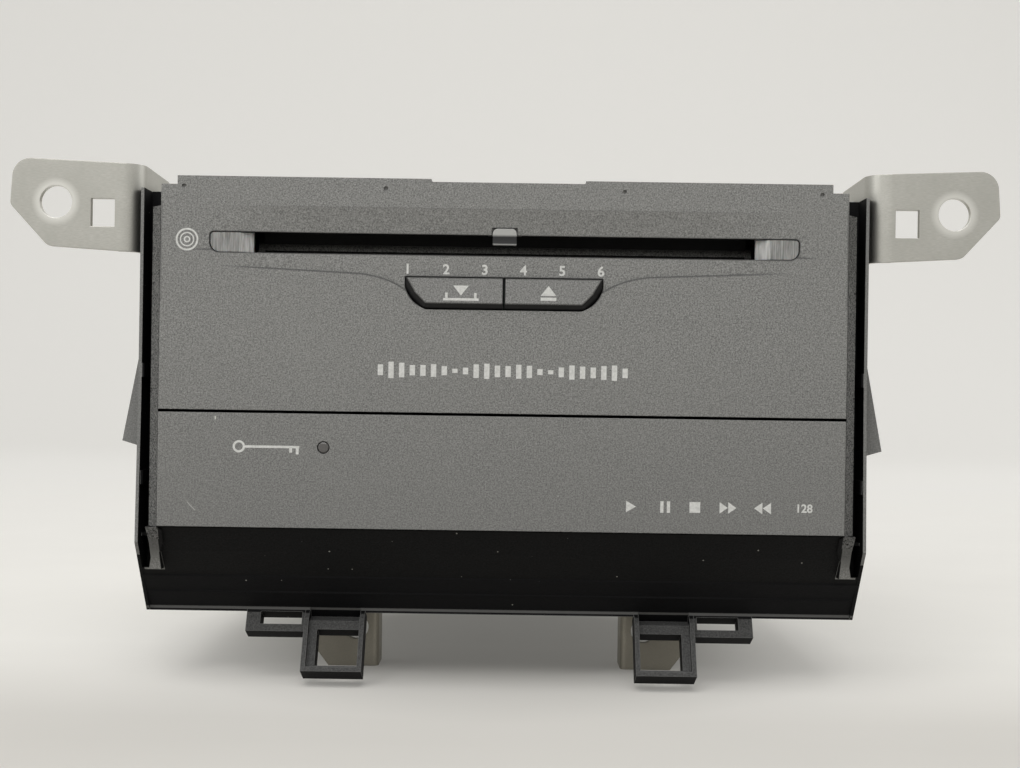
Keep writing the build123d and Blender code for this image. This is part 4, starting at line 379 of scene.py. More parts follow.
def sharp_edges(tree, radius, flat_to=0.99, full_at=0.9):
    """One within this distance of the piece's edges; the limits are cosines of their turn."""
    rounded = add_node(tree, "ShaderNodeBevel", {"Radius": radius}, samples=6).outputs["Normal"]
    flat = add_node(tree, "ShaderNodeNewGeometry").outputs["Normal"]
    pair = {0: rounded, 1: flat}
    turned = add_node(tree, "ShaderNodeVectorMath", {}, pair, operation="DOT_PRODUCT").outputs["Value"]
    return spread(tree, turned, flat_to, full_at)


def raw_black_moulding():
    """Raw black plastic, 0.4 mm grit and dust; painted light greys its front edges, strips and feet."""
    material, tree, shader, place = start_material("raw_black_moulded_plastic")
    axis = add_node(tree, "ShaderNodeSeparateXYZ", {}, {"Vector": place}).outputs
    normal = tree.nodes["Texture Coordinate"].outputs["Normal"]
    facing = add_node(tree, "ShaderNodeSeparateXYZ", {}, {"Vector": normal}).outputs
    front = spread(tree, facing["Y"], -0.45, -0.6)
    side = add_node(tree, "ShaderNodeMath", {}, {0: axis["X"]}, operation="ABSOLUTE").outputs[0]
    height = axis["Z"]
    grit = spread(tree, noise(tree, place, 0.4 * MM, 4), 0.32, 0.68)
    edges = sharp_edges(tree, 0.3 * MM)

    # Painted light: forward faces near the front at the sides, on the walls, strips and feet, are made
    # grey.
    lit_forward = combine(tree, "MULTIPLY", front, under(tree, axis["Y"], LIT_FRONT_TO_Y))
    lit_wall_edge = combine(tree, "MULTIPLY", lit_forward, over(tree, side, WALL_EDGE_X))
    lit_wall_edge = combine(tree, "MULTIPLY", lit_wall_edge, over(tree, height, WALL_EDGE_Z))
    lit_strip = combine(tree, "MULTIPLY", lit_forward, within(tree, side, *STRIP_X))
    lit_strip = combine(tree, "MULTIPLY", lit_strip, over(tree, height, FOOT_Z[1]))
    lit_foot = combine(tree, "MULTIPLY", lit_forward, within(tree, side, *FOOT_X))
    lit_foot = combine(tree, "MULTIPLY", lit_foot, within(tree, height, *FOOT_Z))
    # Painted highlight along the feet's edges.
    foot_edge_highlight = combine(tree, "MULTIPLY", edges, lit_foot)
    # Painted light on the lip's front.
    lit_lip = combine(tree, "MULTIPLY", front, within(tree, height, *LIP_Z))
    # Painted highlight along the lowest edges.
    low_edge_highlight = combine(tree, "MULTIPLY", edges, under(tree, height, EDGES_FROM_Z, 0.1 * MM))
    # Painted light: the upward faces of the hooks are made lighter.
    upward = spread(tree, facing["Z"], 0.1, 0.35)
    lit_hook_tops = combine(tree, "MULTIPLY", upward, under(tree, height, HOOKS_FROM_Z, 0.1 * MM))
    # Painted light: the slot ramp is made pale grey where the slot's upper lip shades it.
    slope = spread(tree, facing["Z"], 0.2, 0.5)
    lit_ramp = combine(tree, "MULTIPLY", slope, under(tree, side, RAMP_X, 0.1 * MM))
    lit_ramp = combine(tree, "MULTIPLY", lit_ramp, within(tree, height, *RAMP_Z))

    # Painted light: the feet grow lighter towards their lower ends.
    foot_light_fall = spread(tree, height, *FOOT_FALL_Z)
    foot_painted_light = blend_colours(tree, foot_light_fall, "#5a5a58", "#a4a4a1")
    lit_foot_grit = combine(tree, "MULTIPLY", grit, lit_foot)
    foot_painted_light = blend_colours(tree, lit_foot_grit, foot_painted_light, "#6e6e6c")
    shade = blend_colours(tree, grit, "#030304", "#0c0c0e")
    for mask, painted_light_grey in (
        # Painted light: the skirt band under the face is a little lighter than the rest of the black.
        (within(tree, height, *SKIRT_BAND_Z), blend_colours(tree, grit, "#050505", "#151515")),
        (lit_ramp, blend_colours(tree, grit, "#2a2a29", "#8a8a86")),
        (lit_hook_tops, blend_colours(tree, grit, "#3a3a3a", "#5c5c5b")),
        (low_edge_highlight, "#6e6e6d"),
        (lit_lip, "#626261"),
        (lit_strip, blend_colours(tree, grit, "#121212", "#868684")),
        (lit_foot, foot_painted_light),
        (foot_edge_highlight, "#7f7f7c"),
        (lit_wall_edge, blend_colours(tree, grit, "#757573", "#929290")),
    ):
        shade = blend_colours(tree, mask, shade, painted_light_grey)
    dust = speck_mask(tree, place, 4.5 * MM, 0.24 * MM)
    shade = blend_colours(tree, dust, shade, "#a3a29c")
    tree.links.new(shade, shader.inputs["Base Color"])
    shader.inputs["Roughness"].default_value = 0.7
    shader.inputs["Specular IOR Level"].default_value = 0.15
    grain(tree, shader, grit, 0.05 * MM, 0.5, 0.2 * MM)
    return material


dress(raw_black_moulding(), "front_frame")


# ---- Slot felts, light guides, lamp lens and dust door: black wool felt glued to the frame plate, grey
# polycarbonate held by its flanges behind the panel, and a flocked flap. The guides close the slot's ends
# and glow at night, and the flap hangs behind the slot.
def wool_felt():
    """Napped black felt with 0.25 mm fibres."""
    material, tree, shader, place = start_material("black_wool_felt")
    nap = noise(tree, place, 0.25 * MM, 5)
    tree.links.new(blend_colours(tree, nap, "#0b0b0b", "#1d1d1d"), shader.inputs["Base Color"])
    shader.inputs["Roughness"].default_value = 0.95
    shader.inputs["Sheen Weight"].default_value = 0.3
    grain(tree, shader, nap, 0.1 * MM, 0.8)
    return material


def frosted_guide():
    """Frosted grey polycarbonate with 0.4 mm upright flow lines, paler at its inner end,
    with painted shadow along its top and outer edges.
    """
    material, tree, shader, place = start_material("frosted_polycarbonate")
    guide_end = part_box("slot_light_guides")[1]
    inner_length = 8.3 * MM
    rim_w = 1.9 * MM
    stretch = add_node(tree, "ShaderNodeMapping", {"Scale": (1.0, 1.0, 0.08)}, {"Vector": place})
    flow = spread(tree, noise(tree, stretch.outputs[0], 0.4 * MM, 3), 0.35, 0.65)
    axis = add_node(tree, "ShaderNodeSeparateXYZ", {}, {"Vector": place}).outputs
    side = add_node(tree, "ShaderNodeMath", {}, {0: axis["X"]}, operation="ABSOLUTE").outputs[0]
    inner = under(tree, side, guide_end.x - inner_length, 0.15 * MM)
    outer_shade = blend_colours(tree, flow, "#757573", "#a6a6a4")
    inner_shade = blend_colours(tree, flow, "#9b9b99", "#c6c6c4")
    shade = blend_colours(tree, inner, outer_shade, inner_shade)
    # Painted shadow: a near-black band along the top edge and outer end of each guide.
    top_edge_shadow = over(tree, axis["Z"], guide_end.z - rim_w)
    rim = combine(tree, "MAXIMUM", top_edge_shadow, over(tree, side, guide_end.x - rim_w))
    rim = combine(tree, "MULTIPLY", rim, sharp_edges(tree, 0.35 * MM))
    tree.links.new(blend_colours(tree, rim, shade, "#1b1b1b"), shader.inputs["Base Color"])
    shader.inputs["Roughness"].default_value = 0.3
    shader.inputs["Subsurface Weight"].default_value = 0.15
    shader.inputs["Subsurface Scale"].default_value = 1.0 * MM
    grain(tree, shader, flow, 0.01 * MM, 0.3, 0.15 * MM)
    return material


def smoked_lens():
    """Lamp lens: pale over the panel, painted shade where the slot lies behind it,
    and a painted highlight at its lower edge.
    """
    material, tree, shader, place = start_material("smoked_polycarbonate_lens")
    height = add_node(tree, "ShaderNodeSeparateXYZ", {}, {"Vector": place}).outputs["Z"]
    low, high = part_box("slot_lamp_lens")
    slot_edge = high.z - 2.9 * MM
    # Painted shade: darker down to the slot's edge, where the dark slot lies behind the lens.
    depth = spread(tree, height, slot_edge, low.z + 0.6 * MM)
    shade = blend_colours(tree, depth, "#09090a", "#252526")
    # Painted highlight along the lower edge.
    shade = blend_colours(tree, under(tree, height, low.z + 0.35 * MM, 0.1 * MM), shade, "#8f8f8d")
    shade = blend_colours(tree, over(tree, height, slot_edge, 0.3 * MM), shade, "#b0b0ad")
    tree.links.new(shade, shader.inputs["Base Color"])
    shader.inputs["Roughness"].default_value = 0.3
    grain(tree, shader, height, 0.01 * MM, 0.1, 0.2 * MM)
    return material


def flocked_door():
    """Dust door flocked black: 0.35 mm nap, painted pale grey towards its lower edge as painted light."""
    material, tree, shader, place = start_material("flocked_dust_door")
    height = add_node(tree, "ShaderNodeSeparateXYZ", {}, {"Vector": place}).outputs["Z"]
    nap = spread(tree, noise(tree, place, 0.35 * MM, 4, 0.7), 0.35, 0.65)
    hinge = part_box("dust_door")[1].z
    # Painted light: the black flock turns pale grey towards its lower edge.
    towards_lower_edge = spread(tree, height, hinge - 3.8 * MM, hinge - 6.0 * MM)
    clean = blend_colours(tree, nap, "#141414", "#2e2e2d")
    lower_painted_light = blend_colours(tree, nap, "#787876", "#e4e4e0")
    tree.links.new(blend_colours(tree, towards_lower_edge, clean, lower_painted_light), shader.inputs["Base Color"])
    shader.inputs["Roughness"].default_value = 0.9
    grain(tree, shader, nap, 0.08 * MM, 0.6)
    return material


dress(flocked_door(), "dust_door")
dress(wool_felt(), "slot_felts")
dress(frosted_guide(), "slot_light_guides")
dress(smoked_lens(), "slot_lamp_lens")


# ---- Face panels: two ABS mouldings sprayed with one satin grey coat, whose edges stand on the frame
# plate. The spray shows a fine mottle and a soft sheen; painted shade darkens the shallow creases round
# the slot, the lower part of the face and the walls of the openings. Handling has left a few specks, a
# nick and a scratch.
slot_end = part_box("slot_light_guides")[1]
cap_low, cap_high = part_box("eject_button")
OPENING_X = slot_end.x + 0.6 * MM
OPENING_Z = (cap_low.z - 1.2 * MM, slot_end.z + 1.1 * MM)
CREASE_SHADE_Z = (-24.5 * MM, -0.2 * MM)
LOW_SHADE_Z = (-35 * MM, -80 * MM)
SCRATCH_CENTRE = (-66 * MM, 0, -65.0 * MM)
SCRATCH_R = 13.0 * MM
SCRATCH_W = 0.16 * MM
SCRATCH_MIDDLE = (-75.2 * MM, 0, -74.2 * MM)
SCRATCH_REACH = 1.6 * MM
NICK = (-69.6 * MM, 0, -52.6 * MM)
NICK_SHAPE = (2.0, 0, 0.9)
NICK_R = 0.45 * MM


def arc_scratch(tree, place, centre, radius, width):
    """Thin line along part of a circle drawn on the face."""
    flat = add_node(tree, "ShaderNodeMapping", {"Scale": (1.0, 0.0, 1.0)}, {"Vector": place}).outputs[0]
    reach = add_node(tree, "ShaderNodeVectorMath", {1: centre}, {0: flat}, operation="DISTANCE")
    reach = reach.outputs["Value"]
    off = add_node(tree, "ShaderNodeMath", {1: radius}, {0: reach}, operation="SUBTRACT").outputs[0]
    size = add_node(tree, "ShaderNodeMath", {}, {0: off}, operation="ABSOLUTE").outputs[0]
    return spread(tree, size, width, 0.4 * width)


def disc_mask(tree, place, centre, radius):
    """Round patch on the face."""
    flat = add_node(tree, "ShaderNodeMapping", {"Scale": (1.0, 0.0, 1.0)}, {"Vector": place}).outputs[0]
    reach = add_node(tree, "ShaderNodeVectorMath", {1: centre}, {0: flat}, operation="DISTANCE")
    return spread(tree, reach.outputs["Value"], radius, 0.75 * radius)


def satin_paint(name, pale, deep, bare_and_shaded_x, bare_and_shaded_z):
    """Sprayed satin coat: 0.36 mm mottle, 25 mm drift, painted shade low down and along creases,
    and black walls within these limits: bare on the caps, painted shade in the panel's openings.
    """
    material, tree, shader, place = start_material(name)
    mottle = spread(tree, noise(tree, place, 0.36 * MM, 4, 0.7), 0.35, 0.65)
    drift = noise(tree, place, 25 * MM, 2)
    shade = blend_colours(tree, mottle, deep, pale)
    shade = blend_colours(tree, spread(tree, drift, 0.35, 0.65, 0.0, 0.12), shade, "#8b8b87")
    axis = add_node(tree, "ShaderNodeSeparateXYZ", {}, {"Vector": place}).outputs
    side = add_node(tree, "ShaderNodeMath", {}, {0: axis["X"]}, operation="ABSOLUTE").outputs[0]
    height = axis["Z"]
    # Painted shade: the face is darkened towards its bottom.
    shade = blend_colours(tree, spread(tree, height, *LOW_SHADE_Z, 0.0, 0.35), shade, "#646463")
    specks = speck_mask(tree, place, 9 * MM, 0.14 * MM)
    shade = blend_colours(tree, specks, shade, "#b4b4b0")
    line = arc_scratch(tree, place, SCRATCH_CENTRE, SCRATCH_R, SCRATCH_W)
    scratch = combine(tree, "MULTIPLY", line, disc_mask(tree, place, SCRATCH_MIDDLE, SCRATCH_REACH))
    shade = blend_colours(tree, scratch, shade, "#a9a9a5")
    to_nick = [-part * size for part, size in zip(NICK, NICK_SHAPE)]
    lean = {"Location": to_nick, "Scale": NICK_SHAPE}
    drawn = add_node(tree, "ShaderNodeMapping", lean, {"Vector": place}).outputs[0]
    shade = blend_colours(tree, disc_mask(tree, drawn, (0, 0, 0), NICK_R), shade, "#c9c9c2")
    # Painted shade: the shallow creases round the slot are darkened.
    crease_shade = sharp_edges(tree, 0.45 * MM, 0.999, 0.985)
    crease_shade = combine(tree, "MULTIPLY", crease_shade, within(tree, height, *CREASE_SHADE_Z))
    shade = blend_colours(tree, crease_shade, shade, "#4d4d4c")
    # Walls turned from the front are near black: painted shade in the panel's openings, bare plastic on
    # caps.
    normal = tree.nodes["Texture Coordinate"].outputs["Normal"]
    facing = add_node(tree, "ShaderNodeSeparateXYZ", {}, {"Vector": normal}).outputs["Y"]
    wall = combine(tree, "MULTIPLY", spread(tree, facing, -0.3, -0.1), under(tree, side, bare_and_shaded_x, 0.1 * MM))
    wall = combine(tree, "MULTIPLY", wall, within(tree, height, *bare_and_shaded_z))
    shade = blend_colours(tree, wall, shade, "#0c0c0d")
    tree.links.new(shade, shader.inputs["Base Color"])
    shader.inputs["Roughness"].default_value = 0.52
    shader.inputs["Specular IOR Level"].default_value = 0.4
    grain(tree, shader, noise(tree, place, 0.25 * MM, 3), 0.03 * MM, 0.3, 0.25 * MM)
    return material, tree, shader, place


paint = satin_paint("satin_sprayed_abs", "#a0a09d", "#5a5a59", OPENING_X, OPENING_Z)[0]
dress(paint, "upper_face_panel", "lower_face_panel")


# ---- Buttons: ABS caps moulded black, sprayed grey on the front only, that slide in through the panel.
# Their bevels and sides stay raw black, and painted shadow of the gaps darkens their top edge and the
# split between them. The eject cap bears a triangle over a bar, the load cap a triangle that points down
# into a tray.
BARE_CAP_X = 30 * MM
BARE_CAP_Z = (-30 * MM, -15 * MM)
PAINT_DEPTH = 0.12 * MM
GAP_SHADOW_TOP_H = 0.28 * MM
GAP_SHADOW_SPLIT_W = 0.2 * MM


def button_paint():
    """Grey paint on the cap's flat front, raw black plastic on its bevels and sides,
    and painted shadow of the gaps along its top edge and at the split.
    """
    material, tree, shader, place = satin_paint(
        "satin_sprayed_button_cap", "#9d9d9b", "#60605f", BARE_CAP_X, BARE_CAP_Z
    )
    axis = add_node(tree, "ShaderNodeSeparateXYZ", {}, {"Vector": place}).outputs
    behind = over(tree, axis["Y"], cap_low.y + PAINT_DEPTH, 0.04 * MM)
    # Near black: the raw bevels and sides, and as painted shadow of the gaps the top band and the split.
    raw = combine(tree, "MAXIMUM", behind, over(tree, axis["Z"], cap_high.z - GAP_SHADOW_TOP_H))
    left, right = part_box("load_button")[1].x, cap_low.x
    split_gap_shadow = within(tree, axis["X"], left - GAP_SHADOW_SPLIT_W, right + GAP_SHADOW_SPLIT_W)
    raw = combine(tree, "MAXIMUM", raw, split_gap_shadow)
    paint_shade = shader.inputs["Base Color"].links[0].from_socket
    shade = blend_colours(tree, raw, paint_shade, "#0f0f10")
    tree.links.new(shade, shader.inputs["Base Color"])
    return material


dress(button_paint(), "load_button", "eject_button")


def screen_ink():
    """Pale screen-printed ink, thin enough that the paint's mottle shows at its edges."""
    material, tree, shader, place = start_material("screen_printed_ink")
    wear = spread(tree, noise(tree, place, 0.6 * MM, 3), 0.25, 0.75)
    tree.links.new(blend_colours(tree, wear, "#c6c6c2", "#e6e6e3"), shader.inputs["Base Color"])
    shader.inputs["Roughness"].default_value = 0.5
    return material


ink = screen_ink()
INK_T = 0.05 * MM


def front_of(node, x, z):
    """Y of a piece's front surface at this place on the face."""
    hit, place, _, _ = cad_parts[node].ray_cast(Vector((x, -0.1, z)), Vector((0, 1, 0)))
    if not hit:
        raise ValueError(f"no surface of {node} at {x}, {z}")
    return place.y


def ink_prism(corners, node, x, z, width, height, turn=0.0):
    """Flat inked shape with this many corners, laid on a piece's front."""
    y = front_of(node, x, z)
    bpy.ops.object.select_all(action="DESELECT")
    bpy.ops.mesh.primitive_cylinder_add(
        vertices=corners, radius=1, depth=INK_T, location=(x, y, z), rotation=(math.pi / 2, 0, 0)
    )
    shape = bpy.context.object
    shape.rotation_euler = (math.pi / 2, turn, 0)
    settle(shape)
    points = [v.co for v in shape.data.vertices]
    spans = [max(p[i] for p in points) - min(p[i] for p in points) for i in (0, 2)]
    middle = [(max(p[i] for p in points) + min(p[i] for p in points)) / 2 for i in (0, 2)]
    for point in points:
        point.x = x + (point.x - middle[0]) * width / spans[0]
        point.z = z + (point.z - middle[1]) * height / spans[1]
    return shape


def ink_bar(node, x, z, width, height):
    """Inked rectangle."""
    return ink_prism(4, node, x, z, width, height, math.pi / 4)


def ink_ring(node, x, z, radius, width):
    """Inked ring."""
    y = front_of(node, x, z)
    bpy.ops.object.select_all(action="DESELECT")
    bpy.ops.mesh.primitive_cylinder_add(
        vertices=48, radius=radius, depth=INK_T, end_fill_type="NOTHING",
        location=(x, y, z), rotation=(math.pi / 2, 0, 0)
    )
    ring = bpy.context.object
    settle(ring)
    wall = ring.modifiers.new("width", "SOLIDIFY")
    wall.thickness = width
    wall.offset = -1
    bpy.ops.object.modifier_apply(modifier="width")
    return ring


SIZE_TO_DIGIT = 1.4
DIGIT_BOLD = 0.035


def ink_digits(text, node, x, z, height):
    """Inked digits, centred on the place."""
    y = front_of(node, x, z) - INK_T / 2
    bpy.ops.object.select_all(action="DESELECT")
    bpy.ops.object.text_add(location=(x, y, z), rotation=(math.pi / 2, 0, 0))
    made = bpy.context.object
    made.data.body = text
    made.data.align_x = "CENTER"
    made.data.align_y = "CENTER"
    made.data.size = height * SIZE_TO_DIGIT
    made.data.offset = height * DIGIT_BOLD
    made.data.extrude = INK_T / 2
    made.data.resolution_u = 4
    bpy.ops.object.convert(target="MESH")
    return settle(bpy.context.object)


def finish_ink(shapes, name, body):
    """Joins inked shapes into one mark that moves with its body."""
    mark = join_as(shapes, name)
    mark.data.materials.clear()
    mark.data.materials.append(ink)
    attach(mark, body)


MARK_Z = -21.3 * MM
EJECT_X, LOAD_X = 10.8 * MM, -10.4 * MM
TRIANGLE_W, TRIANGLE_H = 3.8 * MM, 2.4 * MM
EJECT_BAR_H = 0.75 * MM
TRAY_W, TRAY_LINE = 8.6 * MM, 0.6 * MM
TRAY_END_OUT, TRAY_END_H = 3.5 * MM, 1.4 * MM
finish_ink(
    [
        ink_prism(3, "eject_button", EJECT_X, MARK_Z + 0.55 * MM, TRIANGLE_W, TRIANGLE_H),
        ink_bar("eject_button", EJECT_X, MARK_Z - 1.45 * MM, TRIANGLE_W, EJECT_BAR_H),
    ],
    "eject_mark", "eject_button",
)
load_shapes = [
    ink_prism(3, "load_button", LOAD_X, MARK_Z + 0.35 * MM, TRIANGLE_W, TRIANGLE_H, math.pi),
    ink_bar("load_button", LOAD_X, MARK_Z - 1.8 * MM, TRAY_W, TRAY_LINE),
]
for end_x in (LOAD_X - TRAY_END_OUT, LOAD_X + TRAY_END_OUT):
    load_shapes.append(ink_bar("load_button", end_x, MARK_Z - 0.9 * MM, TRAY_LINE, TRAY_END_H))
finish_ink(load_shapes, "load_mark", "load_button")


# ---- Printed marks on the panels: plain digits of the six trays, pictograms of a disc, a key, level bars
# and tape-deck symbols, and a plain number, all screen-printed in pale ink after spraying.
UPPER, LOWER = "upper_face_panel", "lower_face_panel"
TRAYS = 6
DIGIT_PITCH, DIGIT_Z, DIGIT_H = 9.4 * MM, -15.9 * MM, 2.4 * MM
tray_digits = []
for n in range(TRAYS):
    digit_x = (n - (TRAYS - 1) / 2) * DIGIT_PITCH
    tray_digits.append(ink_digits(str(n + 1), UPPER, digit_x, DIGIT_Z, DIGIT_H))
finish_ink(tray_digits, "tray_digits", "case")

DISC_X, DISC_Z = -77.1 * MM, -9.4 * MM
DISC_RINGS = ((2.75 * MM, 0.45 * MM), (1.75 * MM, 0.3 * MM), (0.8 * MM, 0.35 * MM))
rings = [ink_ring(UPPER, DISC_X, DISC_Z, radius, width) for radius, width in DISC_RINGS]
finish_ink(rings, "disc_mark", "case")

LEVEL_BARS = 24
LEVEL_W = 62.0 * MM
LEVEL_Z = -40.4 * MM
LEVEL_BAR_W = 1.3 * MM
level_bars = []
for n in range(LEVEL_BARS):
    bar_x = (n - (LEVEL_BARS - 1) / 2) * LEVEL_W / LEVEL_BARS
    bar_h = (2.6 + 1.7 * math.sin(n * 1.1) * math.cos(n * 0.4)) * MM
    level_bars.append(ink_bar(UPPER, bar_x, LEVEL_Z, LEVEL_BAR_W, bar_h))
finish_ink(level_bars, "level_bars", "case")

KEY_X, KEY_Z = -56.2 * MM, -59.5 * MM
BOW_R, BOW_LINE = 1.5 * MM, 0.55 * MM
SHANK_L, SHANK_LINE = 13.2 * MM, 0.6 * MM
BIT_W = 0.7 * MM
finish_ink(
    [
        ink_ring(LOWER, KEY_X - 7.6 * MM, KEY_Z, BOW_R, BOW_LINE),
        ink_bar(LOWER, KEY_X + 0.5 * MM, KEY_Z, SHANK_L, SHANK_LINE),
        ink_bar(LOWER, KEY_X + 5.0 * MM, KEY_Z - 0.7 * MM, BIT_W, 1.3 * MM),
        ink_bar(LOWER, KEY_X + 6.6 * MM, KEY_Z - 0.9 * MM, BIT_W, 1.7 * MM),
    ],
    "key_mark", "case",
)

DECK_X, DECK_Z = 53.1 * MM, -72.7 * MM
SYMBOL_H = 2.8 * MM
PLAY_W, ARROW_W = 2.4 * MM, 2.0 * MM
PAUSE_LINE = 0.8 * MM
STOP_W = 2.6 * MM
RIGHT, LEFT = math.pi / 2, -math.pi / 2
deck_symbols = [ink_prism(3, LOWER, DECK_X - 21.5 * MM, DECK_Z, PLAY_W, SYMBOL_H, RIGHT)]
for out in (-14.0, -12.4):
    deck_symbols.append(ink_bar(LOWER, DECK_X + out * MM, DECK_Z, PAUSE_LINE, SYMBOL_H))
deck_symbols.append(ink_bar(LOWER, DECK_X - 6.0 * MM, DECK_Z, STOP_W, STOP_W))
for out, turn in ((1.0, RIGHT), (3.1, RIGHT), (9.4, LEFT), (11.5, LEFT)):
    deck_symbols.append(ink_prism(3, LOWER, DECK_X + out * MM, DECK_Z, ARROW_W, SYMBOL_H, turn))
deck_symbols.append(ink_digits("128", LOWER, DECK_X + 20.5 * MM, DECK_Z, 2.0 * MM))
finish_ink(deck_symbols, "deck_symbols", "case")


# ---- Warning lamp: a 3 mm light-emitting diode whose smoked lens sits flush in the lower panel.
# The lens is nearly the colour of the face, so only the dark ring of its hole shows.
def lamp_lens():
    """Smoked epoxy lens with a polished dome."""
    material, tree, shader, place = start_material("smoked_epoxy_lens")
    cloud = noise(tree, place, 1 * MM, 1)
    tree.links.new(blend_colours(tree, cloud, "#504e4d", "#5f5d5b"), shader.inputs["Base Color"])
    shader.inputs["Roughness"].default_value = 0.15
    shader.inputs["Coat Weight"].default_value = 0.5
    return material


dress(lamp_lens(), "warning_lamp")


# ---- Side brackets: 1.6 mm steel blanked and folded, with rolled corners and a bolt hole in each ear,
# screwed to the case's sides. Rolled steel under thin clear passivation: satin, with drawn lines, and
# bright where a washer sat.
HOLE_X = 111.0 * MM
WASHER_R = 6.1 * MM


def rolled_steel(name, pale, deep, roughness, lines):
    """Satin rolled steel with fine lines along one axis and cloudy patches."""
    material, tree, shader, place = start_material(name)
    stretch = add_node(tree, "ShaderNodeMapping", {"Scale": lines}, {"Vector": place}).outputs[0]
    drawn = noise(tree, stretch, 0.2 * MM, 3)
    patches = noise(tree, place, 9 * MM, 4)
    shade = blend_colours(tree, spread(tree, drawn, 0.2, 0.8), deep, pale)
    shade = blend_colours(tree, spread(tree, patches, 0.35, 0.7, 0.0, 0.5), shade, deep)
    tree.links.new(shade, shader.inputs["Base Color"])
    shader.inputs["Metallic"].default_value = 1.0
    shader.inputs["Roughness"].default_value = roughness
    grain(tree, shader, drawn, 0.01 * MM, 0.25, 0.3 * MM)
    return material, tree, shader, place, shade


def ear_steel():
    """Rolled steel with a bright washer mark round each ear's bolt hole."""
    material, tree, shader, place, shade = rolled_steel(
        "rolled_passivated_steel", "#c6c5bf", "#aeada6", 0.42, (0.15, 1.0, 1.0)
    )
    mirror = add_node(tree, "ShaderNodeVectorMath", {}, {0: place}, operation="ABSOLUTE").outputs[0]
    mark = disc_mask(tree, mirror, (HOLE_X, 0, 0), WASHER_R)
    shade = blend_colours(tree, mark, shade, "#d6d5cf")
    tree.links.new(shade, shader.inputs["Base Color"])
    return material


dress(ear_steel(), "side_bracket_right", "side_bracket_left")


# ---- Leg brackets: thicker blanks folded into an angle, screwed under the case, bolt hole at the foot.
# Left duller and browner than the ears.
dress(
    rolled_steel("dull_rolled_steel", "#a29e91", "#87837a", 0.5, (1.0, 1.0, 0.5))[0],
    "leg_bracket_right", "leg_bracket_left",
)


# ---- Screws: cross-head steel screws, zinc plated, all of one thread.
# Their plating is a little brighter than the case's.
screw_zinc = bright_metal("zinc_plated_screw", "#b8b8b4", "#94948f", 0.3, 0.5 * MM)
dress(screw_zinc, "case_screws", "frame_screws")


# ---- Stage: a pale sheet that runs from under the object up behind it in one curve, soft light from
# above and in front, and the camera square to the face at arm's length, turned a little with the hand.
FRONT_FADE_Y = (-30 * MM, 60 * MM)
BACK_FADE_Y = (0.2, 0.9)
PART_MIDDLE = (0, 71.4 * MM, 0)
SHADED_R, LIT_R = 50 * MM, 103 * MM
GLOW_FADE_Y = (-50 * MM, 30 * MM)
GLOW_IN_FRONT = 0.65
GLOW_UNDER, GLOW_BESIDE = 0.1, 0.33


def seen_directly(tree):
    """One for rays that show a surface to the camera, in a mirror or through glass."""
    path = add_node(tree, "ShaderNodeLightPath").outputs
    mirrored = combine(tree, "MAXIMUM", path["Is Glossy Ray"], path["Is Transmission Ray"])
    return combine(tree, "MAXIMUM", path["Is Camera Ray"], mirrored)


def pale_sheet():
    """Matt pale paper, greyer in front as painted shadow, glowing where seen, least right under the
    object.
    """
    material, tree, shader, place = start_material("pale_backdrop_paper")
    away = add_node(tree, "ShaderNodeSeparateXYZ", {}, {"Vector": place}).outputs["Y"]
    cloud = noise(tree, place, 60 * MM, 3)
    # Painted shadow: the sheet is greyer in front of and under the object.
    front_shade = blend_colours(tree, cloud, "#aca9a3", "#b4b1ab")
    middle = blend_colours(tree, cloud, "#c8c6c1", "#d0cec9")
    shade = blend_colours(tree, spread(tree, away, *FRONT_FADE_Y), front_shade, middle)
    shade = blend_colours(tree, spread(tree, away, *BACK_FADE_Y), shade, "#e2e1de")
    tree.links.new(shade, shader.inputs["Base Color"])
    shader.inputs["Roughness"].default_value = 0.9
    # Painted light: the glow is weakest right under the object and strongest beside it.
    flat = add_node(tree, "ShaderNodeMapping", {"Scale": (1.0, 1.0, 0.0)}, {"Vector": place}).outputs[0]
    reach = add_node(tree, "ShaderNodeVectorMath", {1: PART_MIDDLE}, {0: flat}, operation="DISTANCE")
    beside = spread(tree, reach.outputs["Value"], SHADED_R, LIT_R)
    nearer = spread(tree, away, *GLOW_FADE_Y, GLOW_IN_FRONT, 1.0)
    glow = combine(tree, "MULTIPLY", beside, nearer)
    glow = spread(tree, glow, 0.0, 1.0, GLOW_UNDER, GLOW_BESIDE)
    glow = combine(tree, "MULTIPLY", seen_directly(tree), glow)
    tree.links.new(glow, shader.inputs["Emission Strength"])
    shader.inputs["Emission Color"].default_value = colour("#f6f4ef")
    return material


FLOOR_Z = cad_box[0][2]
FRONT_Y, BACK_Y = -3.0, 1.9
HALF_W = 3.0
SWEEP_R = 0.7
SWEEP_STEPS = 16
WALL_H = 2.5
floor_end = BACK_Y - SWEEP_R
bpy.ops.object.select_all(action="DESELECT")
bpy.ops.mesh.primitive_plane_add(size=1, location=(0, 0, 0))
sheet = bpy.context.object
sheet.scale = (2 * HALF_W, floor_end - FRONT_Y, 1)
sheet.location = (0, (floor_end + FRONT_Y) / 2, FLOOR_Z)
settle(sheet)
for vertex in sheet.data.vertices:
    vertex.select = vertex.co.y > 0
for edge in sheet.data.edges:
    edge.select = all(sheet.data.vertices[i].select for i in edge.vertices)
for face in sheet.data.polygons:
    face.select = False
bpy.ops.object.mode_set(mode="EDIT")
bpy.ops.mesh.select_mode(type="EDGE")
sweep_run = SWEEP_R * math.pi / 2 / SWEEP_STEPS
for step in range(SWEEP_STEPS):
    angle = math.pi / 2 * (step + 0.5) / SWEEP_STEPS
    move = (0, sweep_run * math.cos(angle), sweep_run * math.sin(angle))
    bpy.ops.mesh.extrude_region_move(TRANSFORM_OT_translate={"value": move})
